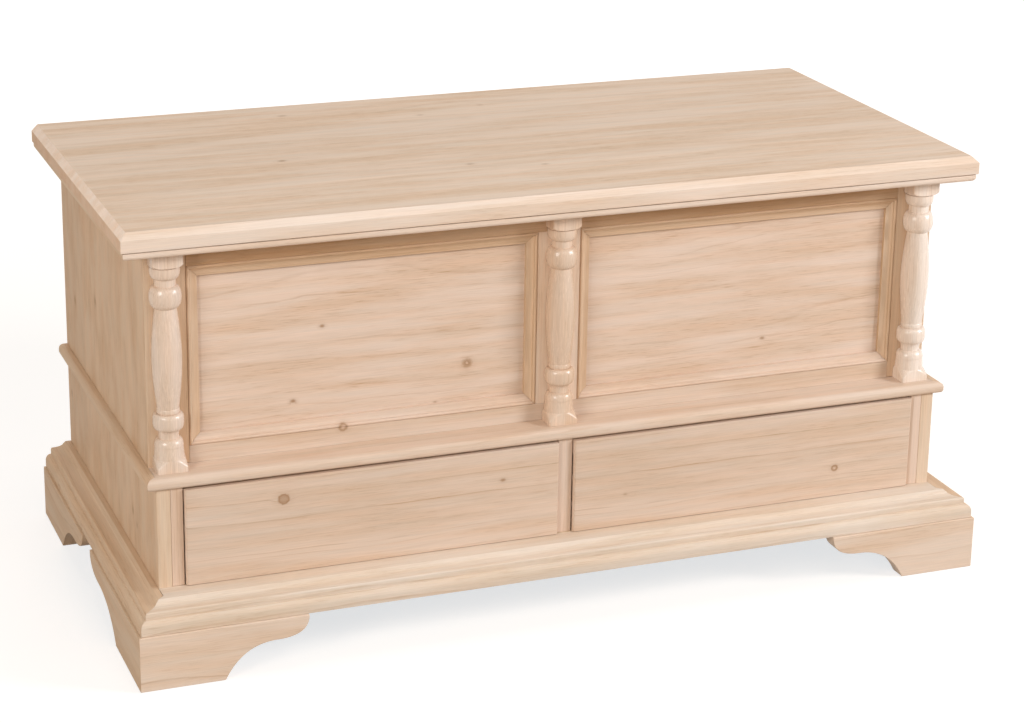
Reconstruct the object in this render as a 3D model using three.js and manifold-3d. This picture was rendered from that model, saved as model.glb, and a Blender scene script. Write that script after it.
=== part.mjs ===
// A mule chest in bare pine: a lift-up box over two side-by-side drawers, on bracket feet.
// Millimetres. X runs from left to right, Y from front to back and Z upwards.
// The origin lies on the floor, under the middle of the chest.
import * as THREE from "three";
import { mergeVertices } from "three/addons/utils/BufferGeometryUtils.js";
import Module from "manifold-3d";

const wasm = await Module();
wasm.setup();

// Outline of the base, and the heights that stack up to the lid's top
const baseWidth = 1050;
const baseDepth = 535;
const footHeight = 65;
const plinthHeight = 31;
const drawerSpaceHeight = 118.5;
const waistThickness = 13.5;
const upperHeight = 257;
const topFrameThickness = 8;
const lidGap = 1;
const lidThickness = 22;

// How far the case stands in from the base, and its boards
const sideReveal = 36.5;
const frontReveal = 57;
const upperSetback = 34;
const sideThickness = 16;
const backThickness = 15;
const floorThickness = 12;
const baseBoardThickness = 16;

// Glue joints and running clearances
const hairline = 0.15;
const overrun = 5;

// Lid and the thin frame that it closes on
const lidSideInset = 2.5;
const lidFrontInset = 43;
const lidBackInset = 1;
const lidBevelWidth = 7.5;
const lidBevelHeight = 7.5;
const lidEdgeRound = 1.5;
const topFrameInset = 2;
const topFrameRound = 5;
const battenWidth = 45;
const battenThickness = 16;
const battenFromEnd = 150;
const battenEndGap = 20;
const battenBevel = 6;

// Waist moulding
const waistOverhang = 11;
const waistFrontOverhang = 6;
const waistTopRound = 6;
const waistUnderRound = 4.5;

// Frame and panels of the upper front
const frameThickness = 20;
const stileWidth = 31.5;
const muntinWidth = 52.5;
const topRailHeight = 26;
const bottomRailHeight = 20.5;
const panelThickness = 8;
const panelRecess = 8;
const grooveDepth = 8;
const grooveSlack = 0.3;
const panelPlay = 1;

// Moulding round each panel, from its outer edge to its inner edge
const panelMouldingWidth = 13;
const beadWidth = 3.6;
const beadProud = 1.2;
const quirkDepth = 2;
const quirkWidth = 0.8;
const coveWidth = 6;
const filletHeight = 2.6;

// Columns, each turned from a square and planed flat at the back
const columnBlockWidth = 35;
const columnFromSide = 22;
const columnAxisStandOff = 8;
const columnFacets = 24;
const columnFootBlock = 9.4;
const columnFootShoulder = 4.9;
const columnHeadBlock = 19;
const columnHeadShoulder = 4.9;
const columnBellFootWidth = 34.6;
const columnBellWidth = 32.2;
const columnTorusWidth = 32.8;
const columnQuirkWidth = 31;
const columnCoveWidth = 22.8;
const columnCupWidth = 35.1;
const columnCupShoulderWidth = 28.4;
const columnRingWidth = 26;
const columnShaftEndWidth = 24.6;
const columnNeckWidth = 24.2;
const columnShaftWidth = 34;
const columnBallWidth = 36.5;
const columnCollarFootWidth = 25.2;
const columnCollarWidth = 34.2;
const columnThroatWidth = 31;

// Drawer openings and the boards between them
const cheekThickness = 14;
const partitionThickness = 17;
const partitionSetback = 1;
const drawerSideGap = 2.2;
const drawerTopGap = 3;
const drawerBottomGap = 0.6;
const drawerRunGap = 0.4;

// Drawer boxes
const drawerProud = 4.5;
const drawerFrontThickness = 18;
const drawerEndRound = 2.5;
const drawerSideThickness = 12;
const drawerSideHeight = 100;
const drawerBottomThickness = 5;
const drawerBottomLift = 8;
const drawerBottomTongue = 5;
const dovetailDepth = 12;
const dovetailCount = 3;
const dovetailFlare = 3;
const dovetailEndShare = 0.5;

// Plinth moulding, from its under edge up and inwards
const plinthInset = 1.5;
const plinthFace = 8;
const plinthOvoloWidth = 6.5;
const plinthOvoloHeight = 8;
const plinthFillet = 0.6;
const plinthStep = 6;
const plinthBead = 2.2;
const plinthCoveWidth = 13.5;
const plinthCoveRise = 3.6;
const plinthSlope = 3.6;

// Bracket feet
const footThickness = 22;
const frontFootLength = 195;
const frontFootFlat = 97;
const frontFootKnee = 37;
const sideFootLength = 258;
const sideFootFlat = 124;
const rearFootFlat = 110;
const sideFootKnee = 45;
const sideFootGap = 44;
const footArch = 40;
const footArchLeanShare = 0.33;
const glueBlock = 32;

// Butt hinges
const hingeLength = 64;
const hingeFromEnd = 190;
const leafThickness = 1.6;
const leafWidth = 12;
const knuckleRadius = 3;
const knuckleClear = 0.4;
const pinRadius = 1.4;
const pinPlay = 0.08;
const pinEndPlay = 0.3;
const pinHeadRadius = 2.2;
const pinHeadThickness = 1.2;
const knuckleCount = 5;
const knuckleGap = 0.3;
const leafRecessSlack = 0.2;
const knuckleFacets = 16;

// Steps of a small round and of a large curve
const roundSteps = 4;
const curveSteps = 8;

// Levels above the floor
const plinthTop = footHeight + plinthHeight;
const waistUnder = plinthTop + drawerSpaceHeight;
const waistTop = waistUnder + waistThickness;
const topFrameUnder = waistTop + upperHeight;
const topFrameTop = topFrameUnder + topFrameThickness;
const lidUnder = topFrameTop + lidGap;

// Places along Y, with the hinge barrels standing behind the back
const barrelProud = knuckleClear + knuckleRadius * 2;
const baseFront = -(baseDepth + barrelProud) / 2;
const back = baseFront + baseDepth;
const drawerFace = baseFront + frontReveal;
const upperFace = drawerFace + upperSetback;
const frameBack = upperFace + frameThickness;
const backInside = back - backThickness;
const lidFront = baseFront + lidFrontInset;
const lidBack = back - lidBackInset;
const waistFront = drawerFace - waistFrontOverhang;
const topFrameFront = lidFront + topFrameInset;
const hingeAxisY = back + knuckleClear + knuckleRadius;
const hingeAxisZ = topFrameTop + lidGap / 2;

// Places along X, to each side of the middle
const baseHalf = baseWidth / 2;
const caseHalf = baseHalf - sideReveal;
const caseInside = caseHalf - sideThickness;
const lidHalf = baseHalf - lidSideInset;
const waistHalf = caseHalf + waistOverhang;
const topFrameHalf = lidHalf - topFrameInset;
const openingOuter = caseInside - stileWidth;
const openingInner = muntinWidth / 2;
const cheekInside = caseInside - cheekThickness;
const partitionHalf = partitionThickness / 2;

const pineLight = { color: 0xe3cbb0, roughness: 0.62, metalness: 0 };
const pine = { color: 0xdcc0a4, roughness: 0.64, metalness: 0 };
const pineDrawer = { color: 0xdabda0, roughness: 0.64, metalness: 0 };
const pineSide = { color: 0xd2b493, roughness: 0.68, metalness: 0 };
const plywood = { color: 0xd9c39c, roughness: 0.7, metalness: 0 };
const brass = { color: 0xb8974a, roughness: 0.35, metalness: 1 };
const steel = { color: 0x9c9a94, roughness: 0.4, metalness: 1 };

// Solids and booleans

function solidOf(geometry) {
  const bare = geometry.index ? geometry.toNonIndexed() : geometry.clone();
  bare.deleteAttribute("normal");
  bare.deleteAttribute("uv");
  const merged = mergeVertices(bare);
  return new wasm.Manifold(
    new wasm.Mesh({
      numProp: 3,
      vertProperties: merged.attributes.position.array,
      triVerts: new Uint32Array(merged.index.array),
    }),
  );
}

function geometryOf(solid) {
  const mesh = solid.getMesh();
  const geometry = new THREE.BufferGeometry();
  geometry.setAttribute(
    "position",
    new THREE.BufferAttribute(new Float32Array(mesh.vertProperties), 3),
  );
  geometry.setIndex(new THREE.BufferAttribute(new Uint32Array(mesh.triVerts), 1));
  const flat = geometry.toNonIndexed();
  flat.computeVertexNormals();
  return flat;
}

const cut = (body, ...tools) =>
  geometryOf(tools.reduce((left, tool) => left.subtract(solidOf(tool)), solidOf(body)));
const join = (body, ...others) =>
  geometryOf(others.reduce((whole, other) => whole.add(solidOf(other)), solidOf(body)));
const common = (body, ...others) =>
  geometryOf(others.reduce((kept, other) => kept.intersect(solidOf(other)), solidOf(body)));

// A box from its lowest to its highest place on each axis.
function block(x0, x1, y0, y1, z0, z1) {
  const box = new THREE.BoxGeometry(x1 - x0, y1 - y0, z1 - z0);
  return box.translate((x0 + x1) / 2, (y0 + y1) / 2, (z0 + z1) / 2);
}

// Outlines

function outline(points) {
  return new THREE.Shape(points.map(([u, v]) => new THREE.Vector2(u, v)));
}

// Points of a quarter turn about a centre, from one angle to the next, in quarters of a circle.
function quarter(u, v, radiusU, radiusV, fromQuarter, toQuarter, steps = roundSteps) {
  return Array.from({ length: steps + 1 }, (_, i) => {
    const angle = ((fromQuarter + ((toQuarter - fromQuarter) * i) / steps) * Math.PI) / 2;
    return [u + radiusU * Math.cos(angle), v + radiusV * Math.sin(angle)];
  });
}

function extrude(points, length) {
  return new THREE.ExtrudeGeometry(outline(points), { depth: length, bevelEnabled: false });
}

const axisX = new THREE.Vector3(1, 0, 0);
const axisY = new THREE.Vector3(0, 1, 0);
const axisZ = new THREE.Vector3(0, 0, 1);

// An outline in Y and Z, carried along X from x0 to x1.
function alongX(points, x0, x1) {
  const turned = new THREE.Matrix4().makeBasis(axisY, axisZ, axisX);
  return extrude(points, x1 - x0).applyMatrix4(turned).translate(x0, 0, 0);
}

// An outline in X and Z, carried along Y from y0 to y1.
function alongY(points, y0, y1) {
  const turned = new THREE.Matrix4().makeBasis(axisX, axisZ, axisY.clone().negate());
  return extrude(points, y1 - y0).applyMatrix4(turned).translate(0, y1, 0);
}

// An outline in X and Y, carried up from z0 to z1.
const alongZ = (points, z0, z1) => extrude(points, z1 - z0).translate(0, 0, z0);

const mirrorX = (points) => points.map(([u, v]) => [-u, v]).reverse();

// Meshes

function piece(name, geometry, finish) {
  const mesh = new THREE.Mesh(geometry, new THREE.MeshStandardMaterial(finish));
  mesh.name = name;
  return mesh;
}

const sides = [
  ["left", -1],
  ["right", 1],
];

// A copy turned over to the other side of the middle, by a mirroring scale.
function onSide(mesh, sign) {
  mesh.scale.x = sign;
  return mesh;
}

// The plan of a board that crosses the front and is mitred to a board along each side.
// Past the mitre its ends run straight back, and behind a shoulder it goes between the sides.
function frontPlan(half, sideWidth, front, shoulder, rear, innerHalf) {
  const right = [
    [half - hairline, front],
    [half - hairline - sideWidth, front + sideWidth],
    [half - hairline - sideWidth, shoulder],
  ];
  if (rear > shoulder) {
    right.push([innerHalf, shoulder]);
    right.push([innerHalf, rear]);
  }
  return [...mirrorX(right), ...right];
}

// The plan of the right-hand board that meets it.
function sidePlan(half, sideWidth, front, rear) {
  return [
    [half, front + hairline],
    [half, rear],
    [half - sideWidth, rear],
    [half - sideWidth, front + sideWidth + hairline],
  ];
}

// Case: sides, back, floor of the box and the boards round the drawers

function caseSide() {
  const profile = [
    [drawerFace, footHeight],
    [back, footHeight],
    [back, topFrameUnder - hairline],
    [upperFace, topFrameUnder - hairline],
    [upperFace, waistUnder - hairline],
    [drawerFace, waistUnder - hairline],
  ];
  return alongX(profile, caseInside, caseHalf);
}

function hingeRecess(centre, z0, z1) {
  const half = hingeLength / 2 + leafRecessSlack;
  return block(
    centre - half,
    centre + half,
    back - leafWidth - leafRecessSlack,
    back + overrun,
    z0,
    z1,
  );
}

const hingeCentres = [-(lidHalf - hingeFromEnd), lidHalf - hingeFromEnd];

function caseBack() {
  const half = caseInside - hairline;
  const board = block(-half, half, backInside, back, footHeight, topFrameTop);
  const recessFloor = topFrameTop - leafThickness - hairline;
  return cut(
    board,
    ...hingeCentres.map((x) => hingeRecess(x, recessFloor, topFrameTop + overrun)),
  );
}

function boxFloor() {
  const half = caseInside - hairline;
  return block(
    -half,
    half,
    frameBack + hairline,
    backInside - hairline,
    waistUnder + hairline,
    waistUnder + floorThickness,
  );
}

function drawerCheek() {
  return block(
    cheekInside,
    caseInside - hairline,
    drawerFace,
    backInside - hairline,
    plinthTop,
    waistUnder - hairline,
  );
}

function drawerPartition() {
  return block(
    -partitionHalf,
    partitionHalf,
    drawerFace + partitionSetback,
    backInside - hairline,
    plinthTop,
    waistUnder - hairline,
  );
}

function baseBoard() {
  const half = caseInside - hairline;
  return block(
    -half,
    half,
    drawerFace + hairline,
    backInside - hairline,
    plinthTop - baseBoardThickness,
    plinthTop - hairline,
  );
}

function buildCase() {
  const group = new THREE.Group();
  for (const [side, sign] of sides) {
    group.add(onSide(piece(`side_${side}`, caseSide(), pineSide), sign));
    group.add(onSide(piece(`drawer_cheek_${side}`, drawerCheek(), pine), sign));
  }
  group.add(piece("back_board", caseBack(), pineSide));
  group.add(piece("box_floor", boxFloor(), plywood));
  group.add(piece("drawer_partition", drawerPartition(), pine));
  group.add(piece("base_board", baseBoard(), plywood));
  return group;
}

// Waist: a board with a rounded nose that makes the ledge, returned along the sides

// The nose in its distance in from the front and its height, from the under edge up.
function waistNose(width, x, z) {
  const under = quarter(
    x + waistUnderRound,
    z + waistUnderRound,
    waistUnderRound,
    waistUnderRound,
    3,
    2,
  );
  const upper = quarter(
    x + waistTopRound,
    z + waistThickness - waistTopRound,
    waistTopRound,
    waistTopRound,
    2,
    1,
  );
  return [[x + width, z], ...under, ...upper, [x + width, z + waistThickness]].reverse();
}

function buildWaist() {
  const group = new THREE.Group();
  const depth = frameBack - waistFront;
  const board = alongX(waistNose(depth, waistFront, waistUnder), -waistHalf, waistHalf);
  const plan = frontPlan(
    waistHalf,
    waistOverhang,
    waistFront,
    upperFace - hairline,
    frameBack,
    caseInside - hairline,
  );
  const rail = common(board, alongZ(plan, waistUnder - overrun, waistTop + overrun));
  group.add(piece("waist_rail", rail, pineLight));
  const width = waistOverhang - hairline;
  const section = mirrorX(waistNose(width, -waistHalf, waistUnder));
  const strip = common(
    alongY(section, waistFront, back),
    alongZ(sidePlan(waistHalf, width, waistFront, back), waistUnder - overrun, waistTop + overrun),
  );
  for (const [side, sign] of sides)
    group.add(onSide(piece(`waist_moulding_${side}`, strip.clone(), pineLight), sign));
  return group;
}

// Upper front: grooved stiles, rails and muntin, and two panels with mitred mouldings

const frameTop = topFrameUnder - hairline;
const frameFoot = waistTop + hairline;
const openingFoot = waistTop + bottomRailHeight;
const openingTop = topFrameUnder - topRailHeight;
const openingWidth = openingOuter - openingInner;
const openingHeight = openingTop - openingFoot;
const grooveFront = upperFace + panelRecess - grooveSlack;
const grooveBack = upperFace + panelRecess + panelThickness + grooveSlack;

// The section of a frame member, from its plain edge to its grooved edge.
function groovedEdge(edge, inward) {
  return [
    [edge, upperFace],
    [edge, grooveFront],
    [edge - inward * grooveDepth, grooveFront],
    [edge - inward * grooveDepth, grooveBack],
    [edge, grooveBack],
    [edge, frameBack],
  ];
}

function stile() {
  const outer = caseInside - hairline;
  const points = [
    [outer, frameBack],
    [outer, upperFace],
    ...groovedEdge(openingOuter, -1),
  ];
  return alongZ(points.reverse(), frameFoot, frameTop);
}

// A stub tenon that fills the groove of the member that it runs into.
function tenon(x0, x1, z0, z1) {
  return block(x0, x1, grooveFront + grooveSlack, grooveBack - grooveSlack, z0, z1);
}

function rail(z0, z1, grooveEdge, inward) {
  const half = openingOuter - hairline;
  const plain = grooveEdge === z1 ? z0 : z1;
  const points = [[frameBack, plain], [upperFace, plain]].concat(
    groovedEdge(grooveEdge, inward).map(([z, y]) => [y, z]),
  );
  const ordered = THREE.ShapeUtils.isClockWise(points.map(([u, v]) => new THREE.Vector2(u, v)))
    ? points.reverse()
    : points;
  const tenonFoot = Math.min(plain, grooveEdge - inward * grooveDepth);
  const tenonTop = Math.max(plain, grooveEdge - inward * grooveDepth);
  const reach = openingOuter + grooveDepth - grooveSlack;
  return join(alongX(ordered, -half, half), tenon(-reach, reach, tenonFoot, tenonTop));
}

function muntin() {
  const right = groovedEdge(openingInner, 1);
  const section = [...right, ...mirrorX(right)];
  const post = alongZ(section, openingFoot + hairline, openingTop - hairline);
  const half = openingInner - grooveDepth;
  const reach = grooveDepth - grooveSlack;
  return join(post, tenon(-half, half, openingFoot - reach, openingTop + reach));
}

function panel() {
  const grow = grooveDepth - panelPlay;
  const y0 = upperFace + panelRecess;
  return block(
    openingInner - grow,
    openingOuter + grow,
    y0,
    y0 + panelThickness,
    openingFoot - grow,
    openingTop + grow,
  );
}

// The moulding's section: its distance in from the outer edge, and its height off the panel.
function panelMouldingSection() {
  const top = panelRecess + beadProud;
  const coveStart = beadWidth + quirkWidth;
  const quirkFloor = top - quirkDepth;
  const coveEnd = coveStart + coveWidth;
  const coveDrop = quirkFloor - filletHeight;
  const bead = quarter(beadWidth / 2, top - beadWidth / 2, beadWidth / 2, beadWidth / 2, 2, 0);
  const cove = quarter(coveEnd, quirkFloor, coveWidth, coveDrop, 2, 3);
  return [
    [0, hairline],
    ...bead,
    [beadWidth, quirkFloor],
    ...cove,
    [panelMouldingWidth, filletHeight],
    [panelMouldingWidth, hairline],
  ].reverse();
}

// A length of moulding whose ends are cut back by each point's distance from the outer edge.
function mitredLength(points, length) {
  const bar = extrude(points, length);
  const place = bar.attributes.position;
  for (let i = 0; i < place.count; i++) {
    const back45 = place.getX(i);
    place.setZ(i, place.getZ(i) > length / 2 ? length - back45 : back45);
  }
  return bar.translate(0, 0, -length / 2);
}

// The four lengths round one panel, each turned about the panel's middle.
function panelMouldings(side, sign) {
  const group = new THREE.Group();
  const width = openingWidth - hairline * 2;
  const height = openingHeight - hairline * 2;
  const runs = [
    ["foot", width, height, 0],
    ["inner", height, width, 1],
    ["top", width, height, 2],
    ["outer", height, width, 3],
  ];
  // Distance from the outer edge goes up, height off the panel goes forward and length along X.
  const laid = new THREE.Matrix4().makeBasis(axisZ, axisY.clone().negate(), axisX);
  for (const [name, length, across, turns] of runs) {
    const bar = mitredLength(panelMouldingSection(), length - hairline * 2);
    bar.applyMatrix4(laid).translate(0, 0, -across / 2);
    bar.rotateY((-turns * Math.PI) / 2);
    group.add(piece(`panel_moulding_${side}_${name}`, bar, pine));
  }
  group.scale.x = -sign;
  group.position.set(
    (sign * (openingInner + openingOuter)) / 2,
    upperFace + panelRecess,
    (openingFoot + openingTop) / 2,
  );
  return group;
}

function buildUpperFront() {
  const group = new THREE.Group();
  const topRail = rail(openingTop, frameTop, openingTop, -1);
  const bottomRail = rail(frameFoot, openingFoot, openingFoot, 1);
  group.add(piece("front_rail_top", topRail, pine));
  group.add(piece("front_rail_bottom", bottomRail, pine));
  group.add(piece("front_muntin", muntin(), pine));
  for (const [side, sign] of sides) {
    group.add(onSide(piece(`front_stile_${side}`, stile(), pine), sign));
    group.add(onSide(piece(`front_panel_${side}`, panel(), pine), sign));
    group.add(panelMouldings(side, sign));
  }
  return group;
}

// Columns: square blocks with curved shoulders, and the turned length between them

function latheSolid(points) {
  const lathe = new THREE.LatheGeometry(
    points.map(([r, z]) => new THREE.Vector2(r, z)),
    columnFacets,
  );
  return lathe.rotateX(Math.PI / 2);
}

// A half-round swelling between two heights, given at its widest radius and at its ends.
function swelling(z0, z1, endRadius, widest, steps) {
  return quarter(endRadius, (z0 + z1) / 2, widest - endRadius, (z1 - z0) / 2, -1, 1, steps);
}

// Heights along the turned length, as shares of it, from the foot block to the head block.
const columnShares = {
  bellTop: 0.059,
  torusFoot: 0.0605,
  torusWide: 0.072,
  torusTop: 0.0983,
  cupFoot: 0.115,
  cupTurn: 0.1506,
  cupWide: 0.1864,
  cupShoulder: 0.2043,
  cupTop: 0.2347,
  ringTop: 0.2602,
  belly: 0.5239,
  shaftTop: 0.7832,
  ballTop: 0.8972,
  neckTop: 0.9329,
  collarWide: 0.9776,
  collarTop: 0.9937,
};

// How much of its swell the shaft has half-way from either end to its belly.
const shaftSwellShare = 0.72;

function shaftPoints(z) {
  const neck = columnShaftEndWidth / 2;
  const belly = columnShaftWidth / 2;
  const half = neck + (belly - neck) * shaftSwellShare;
  const curve = new THREE.CatmullRomCurve3(
    [
      [neck, z.ringTop],
      [half, (z.ringTop + z.belly) / 2],
      [belly, z.belly],
      [half, (z.belly + z.shaftTop) / 2],
      [neck, z.shaftTop],
    ].map(([r, level]) => new THREE.Vector3(r, level, 0)),
  );
  return curve.getPoints(curveSteps).map((point) => [point.x, point.y]);
}

// The cup: a hollow that turns into a swelling, and its rounded shoulder.
function cupPoints(z) {
  const cove = columnCoveWidth / 2;
  const cup = columnCupWidth / 2;
  const shoulder = columnCupShoulderWidth / 2;
  const turn = (cove + cup) / 2;
  return [
    ...quarter(turn, z.cupFoot, turn - cove, z.cupTurn - z.cupFoot, 2, 1),
    ...quarter(turn, z.cupWide, cup - turn, z.cupWide - z.cupTurn, -1, 0).slice(1),
    ...quarter(shoulder, z.cupShoulder, cup - shoulder, z.cupTop - z.cupShoulder, 0, 1),
  ];
}

function columnProfile(height) {
  const foot = columnFootBlock + columnFootShoulder;
  const head = height - columnHeadBlock;
  const z = Object.fromEntries(
    Object.entries(columnShares).map(([name, share]) => [name, foot + (head - foot) * share]),
  );
  const cove = columnCoveWidth / 2;
  const torus = columnTorusWidth / 2;
  const quirk = columnQuirkWidth / 2;
  const shaftEnd = columnShaftEndWidth / 2;
  const neck = columnNeckWidth / 2;
  const collarFoot = columnCollarFootWidth / 2;
  const collar = columnCollarWidth / 2;
  const throat = columnThroatWidth / 2;
  return [
    [0, foot - columnFootShoulder],
    [columnBellFootWidth / 2, foot - columnFootShoulder],
    [columnBellFootWidth / 2, foot],
    [columnBellWidth / 2, z.bellTop],
    [quirk, z.bellTop],
    ...quarter(quirk, z.torusWide, torus - quirk, z.torusWide - z.torusFoot, -1, 0),
    ...quarter(cove, z.torusWide, torus - cove, z.torusTop - z.torusWide, 0, 1).slice(1),
    ...cupPoints(z),
    ...swelling(z.cupTop, z.ringTop, shaftEnd, columnRingWidth / 2, roundSteps),
    ...shaftPoints(z).slice(1),
    ...swelling(z.shaftTop, z.ballTop, shaftEnd, columnBallWidth / 2, curveSteps).slice(1),
    [neck, z.ballTop],
    [neck, z.neckTop],
    ...quarter(collarFoot, z.collarWide, collar - collarFoot, z.collarWide - z.neckTop, -1, 0),
    [collar, z.collarTop],
    [throat, z.collarTop],
    [throat, head + columnHeadShoulder],
    [0, head + columnHeadShoulder],
  ];
}

// A block from z0 to z1, whose turned end at z1 leaves a curved shoulder on each face and a
// cut corner.
function shoulderBlock(z0, z1, shoulder) {
  const square = columnBlockWidth / 2;
  const corner = Math.hypot(square, square) + hairline;
  const up = Math.sign(z1 - z0);
  const cube = block(-square, square, -square, square, Math.min(z0, z1), Math.max(z0, z1));
  const turning = [
    [0, z0 - up * overrun],
    [corner, z0 - up * overrun],
    ...quarter(square, z1 - up * shoulder, corner - square, up * shoulder, 0, 1),
    [0, z1],
  ];
  return common(cube, latheSolid(up > 0 ? turning : turning.reverse()));
}

function column() {
  const height = upperHeight - hairline * 2;
  const footBlock = shoulderBlock(0, columnFootBlock + columnFootShoulder, columnFootShoulder);
  const headBlock = shoulderBlock(height, height - columnHeadBlock, columnHeadShoulder);
  const whole = join(latheSolid(columnProfile(height)), footBlock, headBlock);
  const half = columnBallWidth;
  const flat = columnAxisStandOff - hairline;
  return cut(whole, block(-half, half, flat, flat + half, -overrun, height + overrun));
}

function buildColumns() {
  const group = new THREE.Group();
  const outer = caseHalf - columnFromSide;
  const places = [
    ["left", -outer],
    ["middle", 0],
    ["right", outer],
  ];
  for (const [name, x] of places) {
    const mesh = piece(`column_${name}`, column(), pineLight);
    mesh.position.set(x, upperFace - columnAxisStandOff, waistTop + hairline);
    group.add(mesh);
  }
  return group;
}

// Top frame: thin boards with a rounded under edge, mitred at the front corners

// The board's section: its distance in from the outer edge, and its height.
function topFrameSection(width, outer) {
  const round = quarter(
    outer + topFrameRound,
    topFrameUnder + topFrameRound,
    topFrameRound,
    topFrameRound,
    2,
    3,
  );
  return [
    [outer + width, topFrameTop],
    [outer, topFrameTop],
    ...round,
    [outer + width, topFrameUnder],
  ];
}

function buildTopFrame() {
  const group = new THREE.Group();
  const width = topFrameHalf - caseInside;
  const depth = frameBack - topFrameFront;
  const low = topFrameUnder - overrun;
  const high = topFrameTop + overrun;
  const plan = frontPlan(topFrameHalf, width, topFrameFront, frameBack, frameBack, caseInside);
  const front = common(
    alongX(topFrameSection(depth, topFrameFront), -topFrameHalf, topFrameHalf),
    alongZ(plan, low, high),
  );
  group.add(piece("top_frame_front", front, pineLight));
  const section = mirrorX(topFrameSection(width, -topFrameHalf));
  const board = common(
    alongY(section, topFrameFront, back),
    alongZ(sidePlan(topFrameHalf, width, topFrameFront, back), low, high),
  );
  for (const [side, sign] of sides)
    group.add(onSide(piece(`top_frame_${side}`, board.clone(), pineLight), sign));
  return group;
}

// Plinth: a deep moulding across the front and along both sides

// Its section: distance in from the outer edge, and height, with the flat top reaching the case.
function plinthSection(outer, reach) {
  const face = outer + plinthInset;
  const ovoloFoot = footHeight + plinthFace;
  const ovoloTop = ovoloFoot + plinthOvoloHeight;
  const stepIn = face + plinthOvoloWidth + plinthFillet;
  const stepTop = ovoloTop + plinthStep;
  const lip = stepIn + plinthBead;
  const coveFoot = stepTop + plinthBead;
  const coveIn = lip + plinthCoveWidth;
  return [
    [outer + reach, footHeight + hairline],
    [outer + reach, plinthTop],
    [coveIn + plinthSlope, plinthTop],
    ...quarter(lip, coveFoot + plinthCoveRise, plinthCoveWidth, plinthCoveRise, 0, -1),
    ...quarter(lip, stepTop, plinthBead, plinthBead, 1, 2).slice(1),
    [stepIn, ovoloTop],
    ...quarter(face + plinthOvoloWidth, ovoloFoot, plinthOvoloWidth, plinthOvoloHeight, 1, 2),
    [face, footHeight + hairline],
  ];
}

function buildPlinth() {
  const group = new THREE.Group();
  const low = footHeight - overrun;
  const high = plinthTop + overrun;
  const plan = frontPlan(baseHalf, sideReveal, baseFront, drawerFace, drawerFace, caseInside);
  const front = common(
    alongX(plinthSection(baseFront, frontReveal), -baseHalf, baseHalf),
    alongZ(plan, low, high),
  );
  group.add(piece("plinth_front", front, pineLight));
  const width = sideReveal - hairline;
  const section = mirrorX(plinthSection(-baseHalf, width));
  const side = common(
    alongY(section, baseFront, back),
    alongZ(sidePlan(baseHalf, width, baseFront, back), low, high),
  );
  for (const [name, sign] of sides)
    group.add(onSide(piece(`plinth_${name}`, side.clone(), pineLight), sign));
  return group;
}

// Bracket feet: mitred boards with an ogee cut, and a glue block in each corner

// From the outer corner: a flat sole, an arch up to the knee and a round up to the top.
function footOutline(length, flat, knee) {
  const shape = new THREE.Shape();
  const kneeAt = length - knee;
  const rise = flat + (kneeAt - flat) * footArchLeanShare;
  shape.moveTo(0, 0);
  shape.lineTo(flat, 0);
  shape.quadraticCurveTo(rise, footArch, kneeAt, footArch);
  shape.quadraticCurveTo(length, footArch, length, footHeight - hairline);
  shape.lineTo(0, footHeight - hairline);
  return shape;
}

// The board stands on its sole, with its outer face on Y zero and its thickness towards +Y.
// Its end at X zero is mitred where it meets another board, and otherwise square.
function footBoard(length, flat, knee, mitred) {
  const board = new THREE.ExtrudeGeometry(footOutline(length, flat, knee), {
    depth: footThickness,
    bevelEnabled: false,
    curveSegments: curveSteps,
  });
  const upright = new THREE.Matrix4().makeBasis(axisX, axisZ, axisY.clone().negate());
  board.applyMatrix4(upright).translate(0, footThickness, 0);
  if (!mitred) return board;
  const place = board.attributes.position;
  const edge = hairline / 2;
  for (let i = 0; i < place.count; i++)
    if (place.getX(i) < edge) place.setX(i, place.getY(i) + hairline);
  return board;
}

// The glue block behind a foot, from the face of the board across its corner.
function footBlock(start) {
  return block(
    start,
    start + glueBlock,
    footThickness - hairline,
    footThickness + glueBlock,
    0,
    footHeight - hairline,
  );
}

// A foot along the side, with its block. Its corner is at the origin and it runs towards +Y.
function sideFoot(length, flat, mitred) {
  const turned = new THREE.Matrix4().makeBasis(axisY, axisX, axisZ);
  const board = footBoard(length, flat, sideFootKnee, mitred).applyMatrix4(turned);
  const blockStart = mitred ? footThickness + hairline : 0;
  return join(flipped(board), flipped(footBlock(blockStart).applyMatrix4(turned)));
}

function buildFeet() {
  const group = new THREE.Group();
  for (const [side, sign] of sides) {
    const front = footBoard(frontFootLength, frontFootFlat, frontFootKnee, true);
    const along = sideFoot(sideFootLength, sideFootFlat, true);
    const corner = new THREE.Group();
    corner.scale.x = -sign;
    corner.position.set(sign * baseHalf, baseFront, 0);
    corner.add(piece(`foot_front_${side}`, front, pineLight));
    corner.add(piece(`foot_side_front_${side}`, along, pineSide));
    group.add(corner);

    const rearLength = baseDepth - sideFootLength - sideFootGap;
    const rear = flipped(sideFoot(rearLength, rearFootFlat, false).scale(1, -1, 1));
    const mesh = piece(`foot_side_rear_${side}`, rear, pineSide);
    mesh.scale.x = -sign;
    mesh.position.set(sign * baseHalf, back, 0);
    group.add(mesh);
  }
  return group;
}

// A mirrored mesh has its triangles wound the other way, so that they face outwards again.
function flipped(geometry) {
  const bare = geometry.index ? geometry.toNonIndexed() : geometry;
  const place = bare.attributes.position;
  const a = new THREE.Vector3();
  const b = new THREE.Vector3();
  for (let i = 0; i < place.count; i += 3) {
    a.fromBufferAttribute(place, i);
    b.fromBufferAttribute(place, i + 2);
    place.setXYZ(i, b.x, b.y, b.z);
    place.setXYZ(i + 2, a.x, a.y, a.z);
  }
  bare.computeVertexNormals();
  return bare;
}

// Drawers: a front, two dovetailed sides, a back and a thin bottom

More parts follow.
